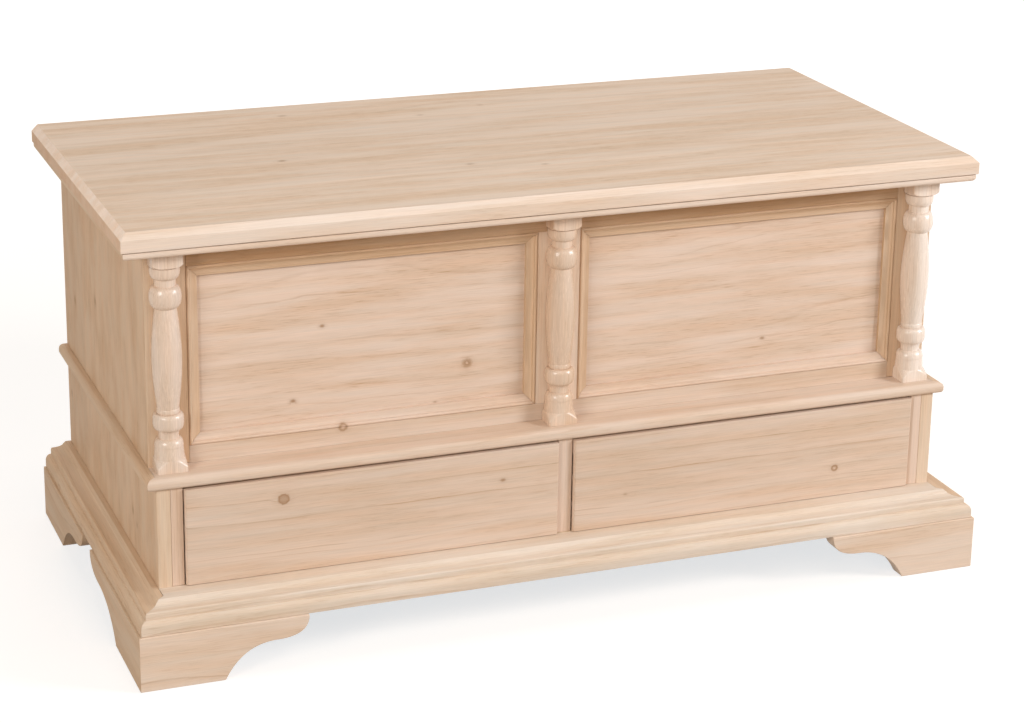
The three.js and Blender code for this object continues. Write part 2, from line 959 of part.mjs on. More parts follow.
const drawerWidth = cheekInside - partitionHalf - drawerSideGap * 2;
const drawerHeight = drawerSpaceHeight - drawerTopGap - drawerBottomGap;
const drawerHalf = drawerWidth / 2;
const boxHalf = drawerHalf - drawerSideGap / 2;

// Closed, the box all but touches the back board, which stops it.
const drawerBoxDepth = backInside - drawerFace + drawerProud - drawerRunGap;

// Tails along a side's front end: each is wider at its tip than at its root.
function tails(grow) {
  const pitch = drawerSideHeight / dovetailCount;
  const tip = drawerFrontThickness - dovetailDepth;
  return Array.from({ length: dovetailCount }, (_, i) => {
    const middle = pitch * (i + dovetailEndShare);
    const root = pitch / 2 - dovetailFlare * 2 + grow;
    const wide = pitch / 2 - dovetailFlare + grow;
    return [
      [tip - grow, middle - wide],
      [drawerFrontThickness + grow, middle - root],
      [drawerFrontThickness + grow, middle + root],
      [tip - grow, middle + wide],
    ];
  });
}

function drawerFront() {
  const round = drawerEndRound;
  const plan = [
    ...quarter(round - drawerHalf, round, round, round, 2, 3),
    ...quarter(drawerHalf - round, round, round, round, 3, 4),
    [drawerHalf, drawerFrontThickness],
    [-drawerHalf, drawerFrontThickness],
  ];
  const foot = drawerBottomGap - drawerRunGap;
  const board = alongZ(plan, foot, foot + drawerHeight);
  const inner = boxHalf - drawerSideThickness - hairline;
  const sockets = tails(hairline).flatMap((points) => [
    alongX(points, inner, drawerHalf + overrun),
    alongX(points, -drawerHalf - overrun, -inner),
  ]);
  const groove = block(
    -inner - drawerBottomTongue,
    inner + drawerBottomTongue,
    drawerFrontThickness - drawerBottomTongue,
    drawerFrontThickness + overrun,
    drawerBottomLift - grooveSlack,
    drawerBottomLift + drawerBottomThickness + grooveSlack,
  );
  return cut(board, ...sockets, groove);
}

function drawerSide() {
  const board = block(
    boxHalf - drawerSideThickness,
    boxHalf,
    drawerFrontThickness + hairline,
    drawerBoxDepth,
    0,
    drawerSideHeight,
  );
  const tailBlocks = tails(0).map((points) =>
    alongX(points, boxHalf - drawerSideThickness, boxHalf),
  );
  const groove = block(
    boxHalf - drawerSideThickness - overrun,
    boxHalf - drawerSideThickness + drawerBottomTongue,
    drawerFrontThickness - dovetailDepth,
    drawerBoxDepth + overrun,
    drawerBottomLift - grooveSlack,
    drawerBottomLift + drawerBottomThickness + grooveSlack,
  );
  const reach = tailBlocks.map((tail) => tail.clone().translate(0, hairline * 2, 0));
  return cut(join(board, ...tailBlocks, ...reach), groove);
}

function drawerBack() {
  const half = boxHalf - drawerSideThickness - hairline;
  return block(
    -half,
    half,
    drawerBoxDepth - drawerSideThickness,
    drawerBoxDepth,
    drawerBottomLift + drawerBottomThickness + grooveSlack,
    drawerSideHeight,
  );
}

function drawerBottom() {
  const half = boxHalf - drawerSideThickness + drawerBottomTongue - grooveSlack;
  return block(
    -half,
    half,
    drawerFrontThickness - drawerBottomTongue + grooveSlack,
    drawerBoxDepth,
    drawerBottomLift,
    drawerBottomLift + drawerBottomThickness,
  );
}

function buildDrawer(side, sign) {
  const group = new THREE.Group();
  group.name = `drawer_${side}`;
  group.add(piece(`drawer_${side}_front`, drawerFront(), pineDrawer));
  group.add(piece(`drawer_${side}_back`, drawerBack(), pine));
  group.add(piece(`drawer_${side}_bottom`, drawerBottom(), plywood));
  group.add(onSide(piece(`drawer_${side}_side_left`, drawerSide(), pine), -1));
  group.add(piece(`drawer_${side}_side_right`, drawerSide(), pine));
  group.position.set(
    sign * (partitionHalf + drawerSideGap + drawerHalf),
    drawerFace - drawerProud,
    plinthTop + drawerRunGap,
  );
  return group;
}

// Lid: one wide board, bevelled round three edges, with two battens underneath

const lidLength = lidBack - lidFront;
const lidFootZ = lidUnder - hingeAxisZ;
const lidBackY = lidBack - hingeAxisY;

// The lid's edge: a small round below, an upright face and a bevel above.
function lidEdge(outer, z) {
  return [
    ...quarter(outer + lidEdgeRound, z + lidEdgeRound, lidEdgeRound, lidEdgeRound, 3, 2),
    [outer, z + lidThickness - lidBevelHeight],
    [outer + lidBevelWidth, z + lidThickness],
  ];
}

function lidBoard() {
  const front = lidBackY - lidLength;
  const lengthways = [
    ...lidEdge(front, lidFootZ),
    [lidBackY, lidFootZ + lidThickness],
    [lidBackY, lidFootZ],
  ].reverse();
  const leftEdge = lidEdge(-lidHalf, lidFootZ);
  const crossways = [...leftEdge, ...mirrorX(leftEdge)].reverse();
  const board = common(
    alongX(lengthways, -lidHalf, lidHalf),
    alongY(crossways, front - overrun, lidBackY + overrun),
  );
  const recesses = hingeCentres.map((x) =>
    hingeRecess(x, lidFootZ - overrun, lidFootZ + leafThickness + hairline).translate(
      0,
      -hingeAxisY,
      0,
    ),
  );
  return cut(board, ...recesses);
}

// A batten across the lid's underside, with its two long edges bevelled.
function lidBatten() {
  const y0 = frameBack + battenEndGap - hingeAxisY;
  const y1 = backInside - battenEndGap - hingeAxisY;
  const top = lidFootZ - hairline;
  const half = battenWidth / 2;
  const points = [
    [-half, top],
    [-half, top - battenThickness + battenBevel],
    [-half + battenBevel, top - battenThickness],
    [half - battenBevel, top - battenThickness],
    [half, top - battenThickness + battenBevel],
    [half, top],
  ];
  return alongY(points, y0, y1);
}

// Hinges: two leaves whose knuckles take turns along one pin

// A rod along X about the hinge axis.
function rod(radius, x0, x1) {
  const bar = new THREE.CylinderGeometry(radius, radius, x1 - x0, knuckleFacets);
  return bar.rotateZ(Math.PI / 2).translate((x0 + x1) / 2, 0, 0);
}

// Knuckles number 0, 2, 4 belong to the case's leaf, and 1, 3 to the lid's.
function hingeLeaf(forLid) {
  const pitch = hingeLength / knuckleCount;
  const half = hingeLength / 2;
  const axisToFace = lidGap / 2;
  const z0 = forLid ? axisToFace : -axisToFace - leafThickness;
  const far = -(knuckleClear + knuckleRadius) - leafWidth;
  const plate = block(-half, half, far, 0, z0, z0 + leafThickness);
  const own = Array.from({ length: knuckleCount }, (_, i) => i).filter(
    (i) => (i % 2 === 1) === forLid,
  );
  const others = Array.from({ length: knuckleCount }, (_, i) => i).filter(
    (i) => (i % 2 === 1) !== forLid,
  );
  const start = (i) => -half + pitch * i;
  const barrels = own.map((i) =>
    rod(knuckleRadius, start(i) + knuckleGap / 2, start(i) + pitch - knuckleGap / 2),
  );
  const room = knuckleRadius + knuckleClear / 2;
  const slots = others.map((i) =>
    block(
      start(i) - knuckleGap / 2 - (i === 0 ? overrun : 0),
      start(i) + pitch + knuckleGap / 2 + (i === knuckleCount - 1 ? overrun : 0),
      -room,
      room,
      -room,
      room,
    ),
  );
  const bore = rod(pinRadius + pinPlay, -half - overrun, half + overrun);
  return cut(join(cut(plate, ...slots), ...barrels), bore);
}

function hingePin() {
  const shoulder = hingeLength / 2 + pinEndPlay;
  const end = shoulder + pinHeadThickness;
  return join(
    rod(pinRadius, -end, end),
    rod(pinHeadRadius, -end, -shoulder),
    rod(pinHeadRadius, shoulder, end),
  );
}

function buildHingesAndLid() {
  const axis = new THREE.Group();
  axis.position.set(0, hingeAxisY, hingeAxisZ);
  axis.add(piece("lid_board", lidBoard(), pineLight));
  for (const [side, sign] of sides) {
    const centre = sign * (lidHalf - hingeFromEnd);
    const parts = [
      piece(`hinge_leaf_case_${side}`, hingeLeaf(false), brass),
      piece(`hinge_leaf_lid_${side}`, hingeLeaf(true), brass),
      piece(`hinge_pin_${side}`, hingePin(), steel),
    ];
    for (const part of parts) {
      part.position.x = centre;
      axis.add(part);
    }
    const batten = piece(`lid_batten_${side}`, lidBatten(), pine);
    batten.position.x = sign * (lidHalf - battenFromEnd);
    axis.add(batten);
  }
  return axis;
}

const chest = new THREE.Group();
chest.name = "mule_chest";
chest.add(buildCase());
chest.add(buildWaist());
chest.add(buildUpperFront());
chest.add(buildColumns());
chest.add(buildTopFrame());
chest.add(buildPlinth());
chest.add(buildFeet());
for (const [side, sign] of sides) chest.add(buildDrawer(side, sign));
chest.add(buildHingesAndLid());

export default chest;
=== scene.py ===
"""A mule chest in bare, unfinished pine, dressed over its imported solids.

Every visible board, moulding and turning is a surface worked out in numpy, in metres, in the frame of the
solids. Boards that are cut to a joint, such as the dovetailed drawers, are merged copies of their solids
with their edges eased.
"""

import math

import bmesh
import bpy
import numpy as np
from bpy.props import FloatProperty, FloatVectorProperty, IntProperty, PointerProperty
from mathutils import Matrix, Vector


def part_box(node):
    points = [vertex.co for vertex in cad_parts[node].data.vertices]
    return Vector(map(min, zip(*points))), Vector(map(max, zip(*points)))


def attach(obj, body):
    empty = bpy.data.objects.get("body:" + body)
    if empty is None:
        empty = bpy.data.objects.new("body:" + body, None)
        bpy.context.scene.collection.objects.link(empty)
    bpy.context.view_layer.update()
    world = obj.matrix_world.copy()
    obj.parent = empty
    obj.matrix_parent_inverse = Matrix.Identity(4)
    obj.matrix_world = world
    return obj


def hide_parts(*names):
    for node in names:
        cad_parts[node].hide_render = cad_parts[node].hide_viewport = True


bl_info = {
    "name": "Mule chest in bare pine",
    "version": (1, 0, 0),
    "blender": (4, 5, 0),
    "location": "3D View > Sidebar > Mule Chest",
    "description": "Builds the boards, mouldings, turned columns and hinges of a pine mule chest",
    "category": "Add Mesh",
}

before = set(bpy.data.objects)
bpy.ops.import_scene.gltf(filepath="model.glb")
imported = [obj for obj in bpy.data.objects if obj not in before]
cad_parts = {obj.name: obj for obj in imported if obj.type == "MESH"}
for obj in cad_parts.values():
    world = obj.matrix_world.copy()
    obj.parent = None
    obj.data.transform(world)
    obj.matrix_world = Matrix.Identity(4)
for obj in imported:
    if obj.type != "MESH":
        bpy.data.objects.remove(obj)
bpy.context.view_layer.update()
SIDES = (("left", -1), ("right", 1))


def linear(code):
    """An sRGB hex colour, such as #e0c6ab, as linear red, green, blue and alpha."""
    parts = [int(code[i : i + 2], 16) / 255 for i in (1, 3, 5)]
    return (*[p / 12.92 if p <= 0.04045 else ((p + 0.055) / 1.055) ** 2.4 for p in parts], 1.0)


def number(name, description, default, unit="LENGTH", **limits):
    """A number from 0 up for the sidebar: a length in metres, unless another unit is given."""
    return FloatProperty(
        name=name, description=description, default=default, min=0.0, precision=4, unit=unit, **limits
    )


def colour_property(name, description, code):
    """A colour that starts from an sRGB hex value."""
    return FloatVectorProperty(
        name=name, description=description, default=linear(code)[:3], min=0.0, max=1.0, subtype="COLOR"
    )


class PineFinish(bpy.types.PropertyGroup):
    """Bare planed pine."""

    early: colour_property("Earlywood", "Pale wood that grows in spring", "#e2ccbc")
    warm: colour_property("Warm earlywood", "Earlywood where the heartwood shows through", "#d8bba3")
    late: colour_property("Latewood", "Darker wood at the end of each year's ring", "#b28a64")
    knot: colour_property("Knot", "The darkest wood of a knot", "#94693c")
    ring: number("Ring width", "Width of one year's growth", 0.0056)
    figure: number("Figure", "How strongly the rings show", 0.62, "NONE", max=1.0, subtype="FACTOR")
    rough: number("Roughness", "Roughness of the planed face", 0.6, "NONE", max=1.0, subtype="FACTOR")
    ease: number("Eased edge", "How far sanding has taken off each sharp edge", 0.0007)


class MouldingSizes(bpy.types.PropertyGroup):
    """Sections of the mouldings, as distances in from and up from their outer lower corner."""

    waist_top: number("Waist top round", "Round on the upper edge of the waist", 0.006)
    waist_under: number("Waist under round", "Round on the lower edge of the waist", 0.0045)
    frame_round: number("Top frame round", "Round under the frame below the lid", 0.005)
    plinth_inset: number("Plinth inset", "How far the plinth stands in from the feet", 0.0015)
    plinth_face: number("Plinth face", "Height of the plinth's upright face", 0.008)
    ovolo_width: number("Ovolo width", "Depth of the plinth's round", 0.0065)
    ovolo_height: number("Ovolo height", "Height of the plinth's round", 0.008)
    fillet: number("Fillet", "Ledge above the plinth's round", 0.0006)
    step: number("Step", "Upright above the ledge", 0.006)
    bead: number("Bead", "Small round above the step", 0.0022)
    cove_width: number("Cove width", "Depth of the plinth's hollow", 0.0135)
    cove_rise: number("Cove rise", "Height of the plinth's hollow", 0.0036)
    slope: number("Slope", "Last slope up to the plinth's top", 0.0036)


class ColumnSizes(bpy.types.PropertyGroup):
    """Widths and heights of a turned column."""

    block: number("Block width", "Width of the square blocks", 0.035)
    foot: number("Foot block", "Height of the square foot", 0.0056)
    foot_shoulder: number("Foot shoulder", "Height of the foot's cut corners", 0.0087)
    head: number("Head block", "Height of the square head", 0.019)
    head_shoulder: number("Head shoulder", "Height of the head's curved shoulder", 0.0049)
    bell_foot: number("Bell foot width", "Width of the bell where it leaves the foot", 0.0346)
    bell: number("Bell width", "Width of the bell at its top", 0.0322)
    quirk: number("Quirk width", "Width of the groove above the bell", 0.0325)
    torus: number("Torus width", "Width of the lowest round", 0.0328)
    cove: number("Cove width", "Width between torus and cup", 0.0228)
    cup: number("Cup width", "Width of the cup below the shaft", 0.0351)
    cup_shoulder: number("Cup shoulder width", "Width at the top of the cup", 0.0284)
    ring: number("Ring width", "Width of the ring above the cup", 0.026)
    shaft_end: number("Shaft end width", "Width of the shaft at both ends", 0.0246)
    shaft: number("Shaft width", "Widest place of the shaft", 0.034)
    ball: number("Ball width", "Width of the ball above the shaft", 0.0365)
    neck: number("Neck width", "Width between ball and collar", 0.0242)
    collar_foot: number("Collar foot", "Width of the collar's lower edge", 0.0252)
    collar: number("Collar width", "Width of the collar's upper edge", 0.0342)
    throat: number("Throat width", "Width between collar and head block", 0.031)
    facets: IntProperty(name="Facets", description="Steps round a column", default=144, min=16, max=256)


class StageSettings(bpy.types.PropertyGroup):
    """Lamps, background and camera."""

    key: number("Key lamp", "Power of the main lamp, at the right in front", 101.0, "POWER")
    front: number("Front lamp", "Power of the lamp high in front", 10.0, "POWER")
    fill: number("Fill lamp", "Power of the lamp at the left", 49.0, "POWER")
    top: number("Top lamp", "Power of the lamp overhead", 36.5, "POWER")
    back: number("Back lamp", "Power of the lamp behind", 20.0, "POWER")
    sky: number("Sky", "Strength of the even light", 0.25, "NONE")
    floor: colour_property("Floor", "Colour of the floor", "#b9aea2")
    lens: number("Lens", "Focal length", 90.84, "CAMERA")


class MuleChestSettings(bpy.types.PropertyGroup):
    """All that the sidebar lists."""

    pine: PointerProperty(type=PineFinish)
    mouldings: PointerProperty(type=MouldingSizes)
    columns: PointerProperty(type=ColumnSizes)
    stage: PointerProperty(type=StageSettings)


def add(tree, kind, inputs=(), out=0, **settings):
    """Adds a shader node, fills or links its inputs, and returns one of its output sockets."""
    node = tree.nodes.new("ShaderNode" + kind)
    for key, value in settings.items():
        setattr(node, key, value)
    for place, value in inputs.items() if isinstance(inputs, dict) else enumerate(inputs):
        if isinstance(value, bpy.types.NodeSocket):
            tree.links.new(value, node.inputs[place])
        elif value is not None:
            node.inputs[place].default_value = value
    return node.outputs[out] if len(node.outputs) else node


def blank_tree(owner):
    """The node tree of a new material or world, emptied."""
    owner.use_nodes = True
    owner.node_tree.nodes.clear()
    return owner.node_tree


# Rows that turn a place on the chest into a place in the wood: along the grain, across the
# board's face, and into its thickness.
GRAIN = {
    "lid": ((1, 0, 0), (0, 1, 0), (0, 0, 1)),
    "front": ((1, 0, 0), (0, 0, 1), (0, -1, 0)),
    "upright": ((0, 0, 1), (1, 0, 0), (0, 1, 0)),
    "side": ((0, 0, 1), (0, -1, 0), (1, 0, 0)),
    "depth": ((0, 1, 0), (0, 0, 1), (1, 0, 0)),
}


def seeded(name):
    """Three repeatable numbers from 0 to 1, from the letters of a name."""
    total = sum((i + 1) * ord(letter) for i, letter in enumerate(name))
    return [abs(math.sin(total * k) * 43758.5453) % 1.0 for k in (0.137, 0.311, 0.773)]


# Millimetres in a metre: patterns in the wood are worked out in millimetres
MM = 1000

# How dark a knot is, from its middle out to its reach, which is given in radii
KNOT_REACH = 2.5
KNOT_SHADES = {
    "disc": ((0.0, 0.5), (0.2, 0.52), (0.34, 0.65), (0.39, 0.8), (0.44, 0.35), (0.52, 0.08), (1.0, 0.0)),
    "ringed": ((0.0, 0.15), (0.14, 0.25), (0.26, 0.6), (0.36, 0.8), (0.44, 0.45), (0.56, 0.1), (1.0, 0.0)),
    "haloed": (
        (0.0, 0.2), (0.08, 0.3), (0.18, 0.75), (0.26, 0.6), (0.36, 0.5), (0.44, 0.3), (0.6, 0.08), (1.0, 0.0)
    ),
    "eye": ((0.0, 0.95), (0.2, 0.8), (0.36, 0.45), (0.55, 0.12), (1.0, 0.0)),
}

# How dark the wood is, from the start of one year's ring to its end
RING_SHADES = ((0.0, 0.5), (0.04, 0.05), (0.3, 0.0), (0.7, 0.04), (0.88, 0.2), (0.96, 0.9), (1.0, 1.0))

# Length and width, in millimetres, of the cells in which the wood varies
CELLS = {
    "sway": (420, 190),
    "ripple": (80, 14),
    "knot rim": (3.0, 3.0),
    "streak": (58, 1.1),
    "dash": (90, 5.0),
    "pore": (26, 1.0),
}

# Planed pine changes along its grain between a pinkish and a greyer shade
BLUSH = ((0.97, 0.99, 1.0, 1.0), (1.03, 1.003, 0.98, 1.0))


def shaded(tree, share, stops):
    """A colour ramp from 0 to 1, whose grey values are given at a few places."""
    value = add(tree, "ValToRGB", {0: share})
    ramp = value.node.color_ramp
    ramp.elements[0].position, ramp.elements[1].position = stops[0][0], stops[-1][0]
    ramp.elements[0].color = (stops[0][1],) * 3 + (1,)
    ramp.elements[1].color = (stops[-1][1],) * 3 + (1,)
    for position, grey in stops[1:-1]:
        ramp.elements.new(position).color = (grey,) * 3 + (1,)
    return value


def fibres(tree, wood, cells, detail=2.0, rough=0.55, low=0.0, high=1.0):
    """Noise drawn out along the grain, in cells of the given length and width in millimetres, and
    stretched so that it goes from low to high."""
    along, across = cells
    drawn = add(tree, "Mapping", {0: wood, 3: (1 / along, 1 / across, 1 / across)})
    value = add(tree, "TexNoise", {"Vector": drawn, "Scale": 1.0, "Detail": detail, "Roughness": rough})
    return add(tree, "MapRange", (value, 0.3, 0.7, low, high))


def bare_pine(
    name, grain, width=None, tone=(1, 1, 1), figure=1.0, knots=(), pith=None, smooth=0.0, cloudy=1.0,
    cells=(260, 22), sheen=0.25, flecks=0.55,
):
    """Planed and sanded pine, with no finish on it: pale, a little pink, and matt.

    The rings are cylinders round a pith that lies beside or behind the board and wanders a little, so
    that a face shows long lines or arches and an end shows arcs. A board wider than one plank is
    glued up from planks of the given width, each with its own pith. The grain swells round each knot.
    Rings are 5.6 mm wide, as in fast-grown pine. Fibre streaks and pores are drawn 1 mm wide, coarser
    than real ones, so that they show.

    The name sets which part of the wood the board is cut from, and the tone multiplies its colours.
    Figure, cloudy and flecks say how strongly its rings, warm clouds and dark pores show. Cells are
    the clouds' length and width, and pith says how far the pith lies across and below the face, both
    in millimetres. Smooth is taken off the roughness, and sheen is the strength of the gloss.
    """
    pine = bpy.context.scene.mule_chest.pine
    name = name.replace("_", " ")
    material = bpy.data.materials.new(name)
    tree = blank_tree(material)
    seed = seeded(name)
    turn = Matrix(GRAIN[grain])
    shift = Vector((seed[0] * 900 + 300, 0, 0))
    place = add(tree, "TexCoord", out="Object")
    wood = add(tree, "Mapping", {0: place, 1: shift, 2: turn.to_euler(), 3: (MM, MM, MM)})
    plain, deep = add(tree, "SeparateXYZ", (wood,)).node.outputs[1:]

    # The planks of a glued-up board, or one plank wider than any board, and three chances for each
    plank_width = (width or 4.0) * MM
    plank = add(tree, "Math", (plain, seed[1] * plank_width), operation="ADD")
    plank = add(tree, "Math", (plank, plank_width), operation="DIVIDE")
    edge = add(tree, "Math", (plank,), operation="FRACT")
    plank = add(tree, "Math", (plank,), operation="FLOOR")
    chance = add(tree, "TexWhiteNoise", {"W": plank}, out="Color", noise_dimensions="1D")
    chance = add(tree, "SeparateXYZ", (chance,)).node.outputs

    # Where the pith lies: across the plank and below its face, wandering 4 mm along the board
    across, below = pith or ((-1 if seed[1] > 0.5 else 1) * (30 + seed[2] * 50), 26 + seed[2] * 30)
    middle = add(tree, "Math", (plank, 0.5 - seed[1]), operation="ADD")
    middle = add(tree, "Math", (middle, plank_width if width else 0.0), operation="MULTIPLY")
    offset = add(tree, "MapRange", (chance[0], 0.0, 1.0, across * 0.6 if width else across, across))
    middle = add(tree, "Math", (middle, offset), operation="ADD")
    sway = fibres(tree, wood, CELLS["sway"], low=-4, high=4)
    ripple = fibres(tree, wood, CELLS["ripple"], low=-0.5, high=0.5)
    from_pith = add(tree, "Math", (plain, middle), operation="SUBTRACT")
    depth = add(tree, "MapRange", (chance[1], 0.0, 1.0, below, below * (1.9 if width else 1.0)))
    depth = add(tree, "Math", (deep, depth), operation="ADD")
    depth = add(tree, "Math", (depth, sway), operation="ADD")
    ray = add(tree, "CombineXYZ", (0.0, from_pith, depth))
    radius = add(tree, "VectorMath", (ray,), out="Value", operation="LENGTH")
    radius = add(tree, "Math", (radius, ripple), operation="ADD")

    # Knots: the grain swells by about half a knot's radius round each, and its wood is darker
    knot_shade = 0.0
    uneven = fibres(tree, wood, CELLS["knot rim"], low=-0.1, high=0.1)
    for kind, point, size, strength in knots:
        centre = turn @ Vector(point) * MM + shift
        away = add(tree, "VectorMath", (wood, centre), operation="SUBTRACT")
        long = 0.6 if kind == "eye" else 0.9
        away = add(tree, "VectorMath", (away, (long / size, 1 / size, 0.25 / size)), operation="MULTIPLY")
        near = add(tree, "VectorMath", (away,), out="Value", operation="LENGTH")
        swell = add(
            tree, "MapRange", (near, 0.0, 3.6, size * 0.55, 0.0), interpolation_type="SMOOTHERSTEP"
        )
        radius = add(tree, "Math", (radius, swell), operation="ADD")
        near = add(tree, "Math", (near, uneven), operation="ADD")
        near = add(tree, "Math", (near, KNOT_REACH), operation="DIVIDE")
        shade = add(tree, "Math", (shaded(tree, near, KNOT_SHADES[kind]), strength), operation="MULTIPLY")
        knot_shade = add(tree, "Math", (knot_shade, shade), operation="MAXIMUM")

    # Each ring grows pale, darkens and ends in a thin dark line, some years more than others. Spells
    # of good and poor years, about 17 mm wide, move the rings by up to 4.5 mm
    slow = add(tree, "Math", (radius, 17.0), operation="DIVIDE")
    slow = add(tree, "TexNoise", {"W": slow, "Scale": 1.0, "Detail": 1.0}, noise_dimensions="1D")
    slow = add(tree, "MapRange", (slow, 0.2, 0.8, -4.5, 4.5))
    year = add(tree, "Math", (radius, slow), operation="ADD")
    year = add(tree, "Math", (year, pine.ring * MM), operation="DIVIDE")
    index = add(tree, "Math", (year,), operation="FLOOR")
    vigour = add(tree, "TexWhiteNoise", {"W": index}, noise_dimensions="1D")
    vigour = add(tree, "MapRange", (vigour, 0.0, 1.0, 0.2, 1.15))
    share = add(tree, "Math", (year,), operation="FRACT")
    late = add(tree, "Math", (shaded(tree, share, RING_SHADES), vigour), operation="MULTIPLY")

    # Fibres break the rings into dashes, dark pores gather in bands, and clouds make some places
    # darker and warmer
    streak = fibres(tree, wood, CELLS["streak"], detail=3.0, rough=0.7)
    dash = fibres(tree, wood, CELLS["dash"], detail=3.0, low=0.1)
    cloud = fibres(tree, wood, cells, detail=4.0)
    pore = fibres(tree, wood, CELLS["pore"], rough=0.6)
    pore = add(tree, "MapRange", (pore, 0.55, 1.1, 0.0, flecks), interpolation_type="SMOOTHSTEP")
    band = add(tree, "MapRange", (cloud, 0.1, 0.9, 0.1, 1.0), interpolation_type="SMOOTHSTEP")
    pore = add(tree, "Math", (pore, band), operation="MULTIPLY")
    late = add(tree, "Math", (late, dash), operation="MULTIPLY")
    late = add(tree, "Math", (late, figure), operation="MULTIPLY")
    late = add(tree, "Math", (late, pore), operation="ADD")
    late = add(tree, "Math", (late, pine.figure), operation="MULTIPLY", use_clamp=True)

    # Colour: earlywood, latewood over it, and the small differences along a board and between planks
    early, warm, dark = (
        (*[min(1.0, c * t) for c, t in zip(shade, tone)], 1.0) for shade in (pine.early, pine.warm, pine.late)
    )
    blend = add(
        tree, "MapRange", (cloud, 0.1, 1.0, 0.0, 0.75 * cloudy), interpolation_type="SMOOTHSTEP"
    )
    colour = add(tree, "Mix", {0: blend, 6: early, 7: warm}, out=2, data_type="RGBA")
    colour = add(tree, "Mix", {0: late, 6: colour, 7: dark}, out=2, data_type="RGBA")
    blush = fibres(tree, wood, (cells[0] * 0.46, cells[1] * 0.41), detail=4.0)
    blush = add(tree, "Mix", {0: blush, 6: BLUSH[0], 7: BLUSH[1]}, out=2, data_type="RGBA")
    colour = add(tree, "VectorMath", (colour, blush), operation="MULTIPLY")
    light = add(tree, "MapRange", (streak, 0.0, 1.0, 0.94, 1.05))
    differ = 0.03 if width else 0.0
    plank_tone = add(tree, "MapRange", (chance[2], 0.0, 1.0, 1 - differ, 1 + differ))
    joint = add(tree, "MapRange", (edge, 0.0, 0.4 / plank_width, 0.9 if width else 1.0, 1.0))
    light = add(tree, "Math", (light, plank_tone), operation="MULTIPLY")
    light = add(tree, "Math", (light, joint), operation="MULTIPLY")
    colour = add(tree, "VectorMath", {0: colour, 3: light}, operation="SCALE")
    if knots:
        knot = (*pine.knot, 1.0)
        colour = add(tree, "Mix", {0: knot_shade, 6: colour, 7: knot}, out=2, data_type="RGBA")

    # The dark lines stand a little lower than the soft wood between the fibres
    rough = pine.rough - smooth
    rough = add(tree, "MapRange", (streak, 0.0, 1.0, rough - 0.05, rough + 0.07))
    relief = add(tree, "Math", (late, -0.5), operation="MULTIPLY")
    relief = add(tree, "Math", (relief, streak), operation="ADD")
    bump = add(tree, "Bump", {"Strength": 0.2, "Distance": 0.00025, "Height": relief})
    shader = add(
        tree,
        "BsdfPrincipled",
        {"Base Color": colour, "Roughness": rough, "Normal": bump, "IOR": 1.5, "Specular IOR Level": sheen},
    )
    add(tree, "OutputMaterial", {"Surface": shader})
    return material


def birch_plywood(name):
    """Thin birch plywood, rotary cut: a pale yellow face with long soft waves and short fine lines."""
    name = name.replace("_", " ")
    material = bpy.data.materials.new(name)
    tree = blank_tree(material)
    place = add(tree, "TexCoord", out="Object")
    wood = add(tree, "Mapping", {0: place, 1: (seeded(name)[0] * 500, 0, 0), 3: (MM, MM, MM)})
    broad_scale = add(tree, "Mapping", {0: wood, 3: (1 / 300, 1 / 60, 1 / 60)})
    broad = add(tree, "TexNoise", {"Vector": broad_scale, "Scale": 1.0, "Detail": 3.0, "Distortion": 0.8})
    line_scale = add(tree, "Mapping", {0: wood, 3: (1 / 18, 1 / 1.2, 1 / 1.2)})
    line = add(tree, "TexNoise", {"Vector": line_scale, "Scale": 1.0, "Detail": 3.0, "Roughness": 0.7})
    wave = add(tree, "Math", (broad, 14.0), operation="MULTIPLY")
    wave = add(tree, "Math", (wave,), operation="FRACT")
    wave = add(tree, "MapRange", (wave, 0.5, 1.0, 0.0, 0.35), interpolation_type="SMOOTHSTEP")
    shades = {0: wave, 6: linear("#dcc7a4"), 7: linear("#c9ab80")}
    colour = add(tree, "Mix", shades, out=2, data_type="RGBA")
    light = add(tree, "MapRange", (line, 0.3, 0.7, 0.94, 1.05))
    colour = add(tree, "VectorMath", {0: colour, 3: light}, operation="SCALE")
    rough = add(tree, "MapRange", (line, 0.3, 0.7, 0.58, 0.7))
    bump = add(tree, "Bump", {"Strength": 0.15, "Distance": 0.0002, "Height": line})
    shader = add(tree, "BsdfPrincipled", {"Base Color": colour, "Roughness": rough, "Normal": bump})
    add(tree, "OutputMaterial", {"Surface": shader})
    return material


def brushed_metal(name, code, roughness):
    """Pressed sheet metal, brushed along its length and dulled a little in patches. The strokes are
    drawn 0.4 mm wide, coarser than real ones."""
    material = bpy.data.materials.new(name)
    tree = blank_tree(material)
    place = add(tree, "TexCoord", out="Object")
    stroke_scale = add(tree, "Mapping", {0: place, 3: (60.0, 2500.0, 2500.0)})
    stroke = add(tree, "TexNoise", {"Vector": stroke_scale, "Scale": 1.0, "Detail": 2.0})
    patch = add(tree, "TexNoise", {"Vector": place, "Scale": 180.0, "Detail": 3.0})
    light = add(tree, "MapRange", (patch, 0.3, 0.7, 0.82, 1.0))
    colour = add(tree, "VectorMath", {0: linear(code)[:3], 3: light}, operation="SCALE")
    rough = add(tree, "MapRange", (stroke, 0.3, 0.7, roughness - 0.07, roughness + 0.12))
    bump = add(tree, "Bump", {"Strength": 0.1, "Distance": 0.00005, "Height": stroke})
    shader = add(
        tree, "BsdfPrincipled", {"Base Color": colour, "Metallic": 1.0, "Roughness": rough, "Normal": bump}
    )
    add(tree, "OutputMaterial", {"Surface": shader})
    return material


def arc(centre, radii, first, last, steps=8):
    """Points on an ellipse: its centre plus its radii times the cosine and sine of an angle that goes
    evenly from first to last, both in quarters of a turn."""
    angle = np.linspace(first, last, steps + 1) * math.pi / 2
    return np.column_stack([centre[0] + radii[0] * np.cos(angle), centre[1] + radii[1] * np.sin(angle)])


